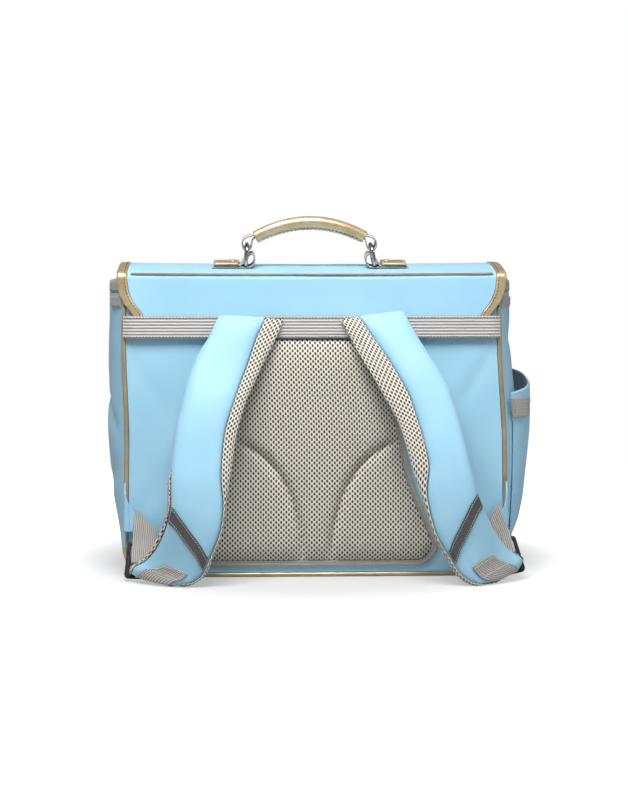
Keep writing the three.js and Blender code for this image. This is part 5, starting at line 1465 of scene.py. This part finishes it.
low, high = pocket_strap_foot, pocket_strap_foot + pocket_strap_width
u, z = np.linspace(-1.11, -0.66, 50)[None], np.linspace(low, high, 37)[:, None]
rise = (z - pocket_floor) / (pocket_rim(u) - pocket_floor)
seat = pocket_surface(u, rise)
facing = facing_out(pocket_surface, np.maximum(-0.97, u), rise)
off = (cloth + hem_extra) / 2 + gap + 0.35
ribs = 0.25 * ripple(6 * (z - low) / pocket_strap_width)
sheet("pocket_strap_webbing", leaned(seat + facing * (off + webbing_wall - 0.25 + ribs)[..., None]),
      leaned(seat + facing * off), grey_webbing)
line_z, line_u = np.linspace(low + 2, high - 2, 20), np.full(20, -0.7)
line_rise = (line_z - pocket_floor) / (pocket_rim(line_u) - pocket_floor)
line = pocket_surface(line_u, line_rise)
facing = facing_out(pocket_surface, line_u, line_rise)
stitches("pocket_strap_stitches", leaned(line + facing * (off + webbing_wall + 0.1)), facing, grey_thread)


# Floor, light and camera

floor_mesh = bpy.data.meshes.new("floor")
floor_reach, floor_back = 4.0, 0.9
floor_corners = [(-floor_reach, -floor_reach, 0), (floor_reach, -floor_reach, 0),
                 (floor_reach, floor_back, 0), (-floor_reach, floor_back, 0)]
floor_mesh.from_pydata(floor_corners, [], [(0, 1, 2, 3)])
floor = placed("floor", floor_mesh)
floor_paint = speckled("pale studio floor", "#b4b4b4", "#bababa", 0.9)
floor_mesh.materials.append(floor_paint)
floor_tree = floor_paint.node_tree
# The floor glows white for camera rays only; the glow is dimmed near the satchel, a painted shadow round its
# foot added to the real one.
seen = add(floor_tree, "LightPath").outputs["Is Camera Ray"]
spot = add(floor_tree, "TexCoord").outputs["Object"]
far = add(floor_tree, "VectorMath", {0: spot}, operation="LENGTH").outputs["Value"]
glow_dimmed_for_painted_shadow = spread(floor_tree, far, 0.14, 0.42, 0.3, 1.2, "SMOOTHSTEP")
shader = floor_tree.nodes["Principled BSDF"]
shader.inputs["Emission Color"].default_value = (1, 1, 1, 1)
floor_tree.links.new(both(floor_tree, "MULTIPLY", seen, glow_dimmed_for_painted_shadow), shader.inputs["Emission Strength"])

world = bpy.data.worlds.new("studio")
bpy.context.scene.world = world
world.use_nodes = True
sky = world.node_tree.nodes["Background"]
sky.inputs["Color"].default_value = (1, 1, 1, 1)
seen = add(world.node_tree, "LightPath").outputs["Is Camera Ray"]
world.node_tree.links.new(spread(world.node_tree, seen, low=0.16), sky.inputs["Strength"])


def soft_light(name, place, aim, size, power):
    """An area light at a place, turned to its aim, with its size in metres and its power in watts."""
    data = bpy.data.lights.new(name, "AREA")
    data.shape = "RECTANGLE"
    data.size, data.size_y = size
    data.energy = power
    light = placed(name, data)
    light.location = place
    light.rotation_euler = (Vector(aim) - Vector(place)).to_track_quat("-Z", "Y").to_euler()


soft_light("front softbox above", (-0.15, -0.68, 1.15), (0, 0, 0.26), (0.8, 0.5), 17)
soft_light("side fill right", (1.5, -0.9, 0.95), (0.15, 0, 0.22), (0.9, 0.9), 6.5)
soft_light("side fill left", (-1.8, -0.9, 0.6), (-0.15, 0, 0.15), (0.9, 0.9), 2)
bpy.context.scene.view_settings.view_transform = "Standard"

camera_data = bpy.data.cameras.new("camera")
camera = placed("camera", camera_data)
bpy.context.scene.camera = camera
distance, azimuth, eye_height, aim_height, aim_depth = 2.0, rad(-2.2), 0.33, 0.18, -0.075
camera.location = (distance * math.sin(azimuth), aim_depth - distance * math.cos(azimuth), eye_height)
aim = Vector((0.0, aim_depth, aim_height))
camera.rotation_euler = (aim - camera.location).to_track_quat("-Z", "Y").to_euler()
camera_data.sensor_fit = "VERTICAL"
camera_data.sensor_height = 36
camera_data.lens = 90.2
camera_data.dof.use_dof = False
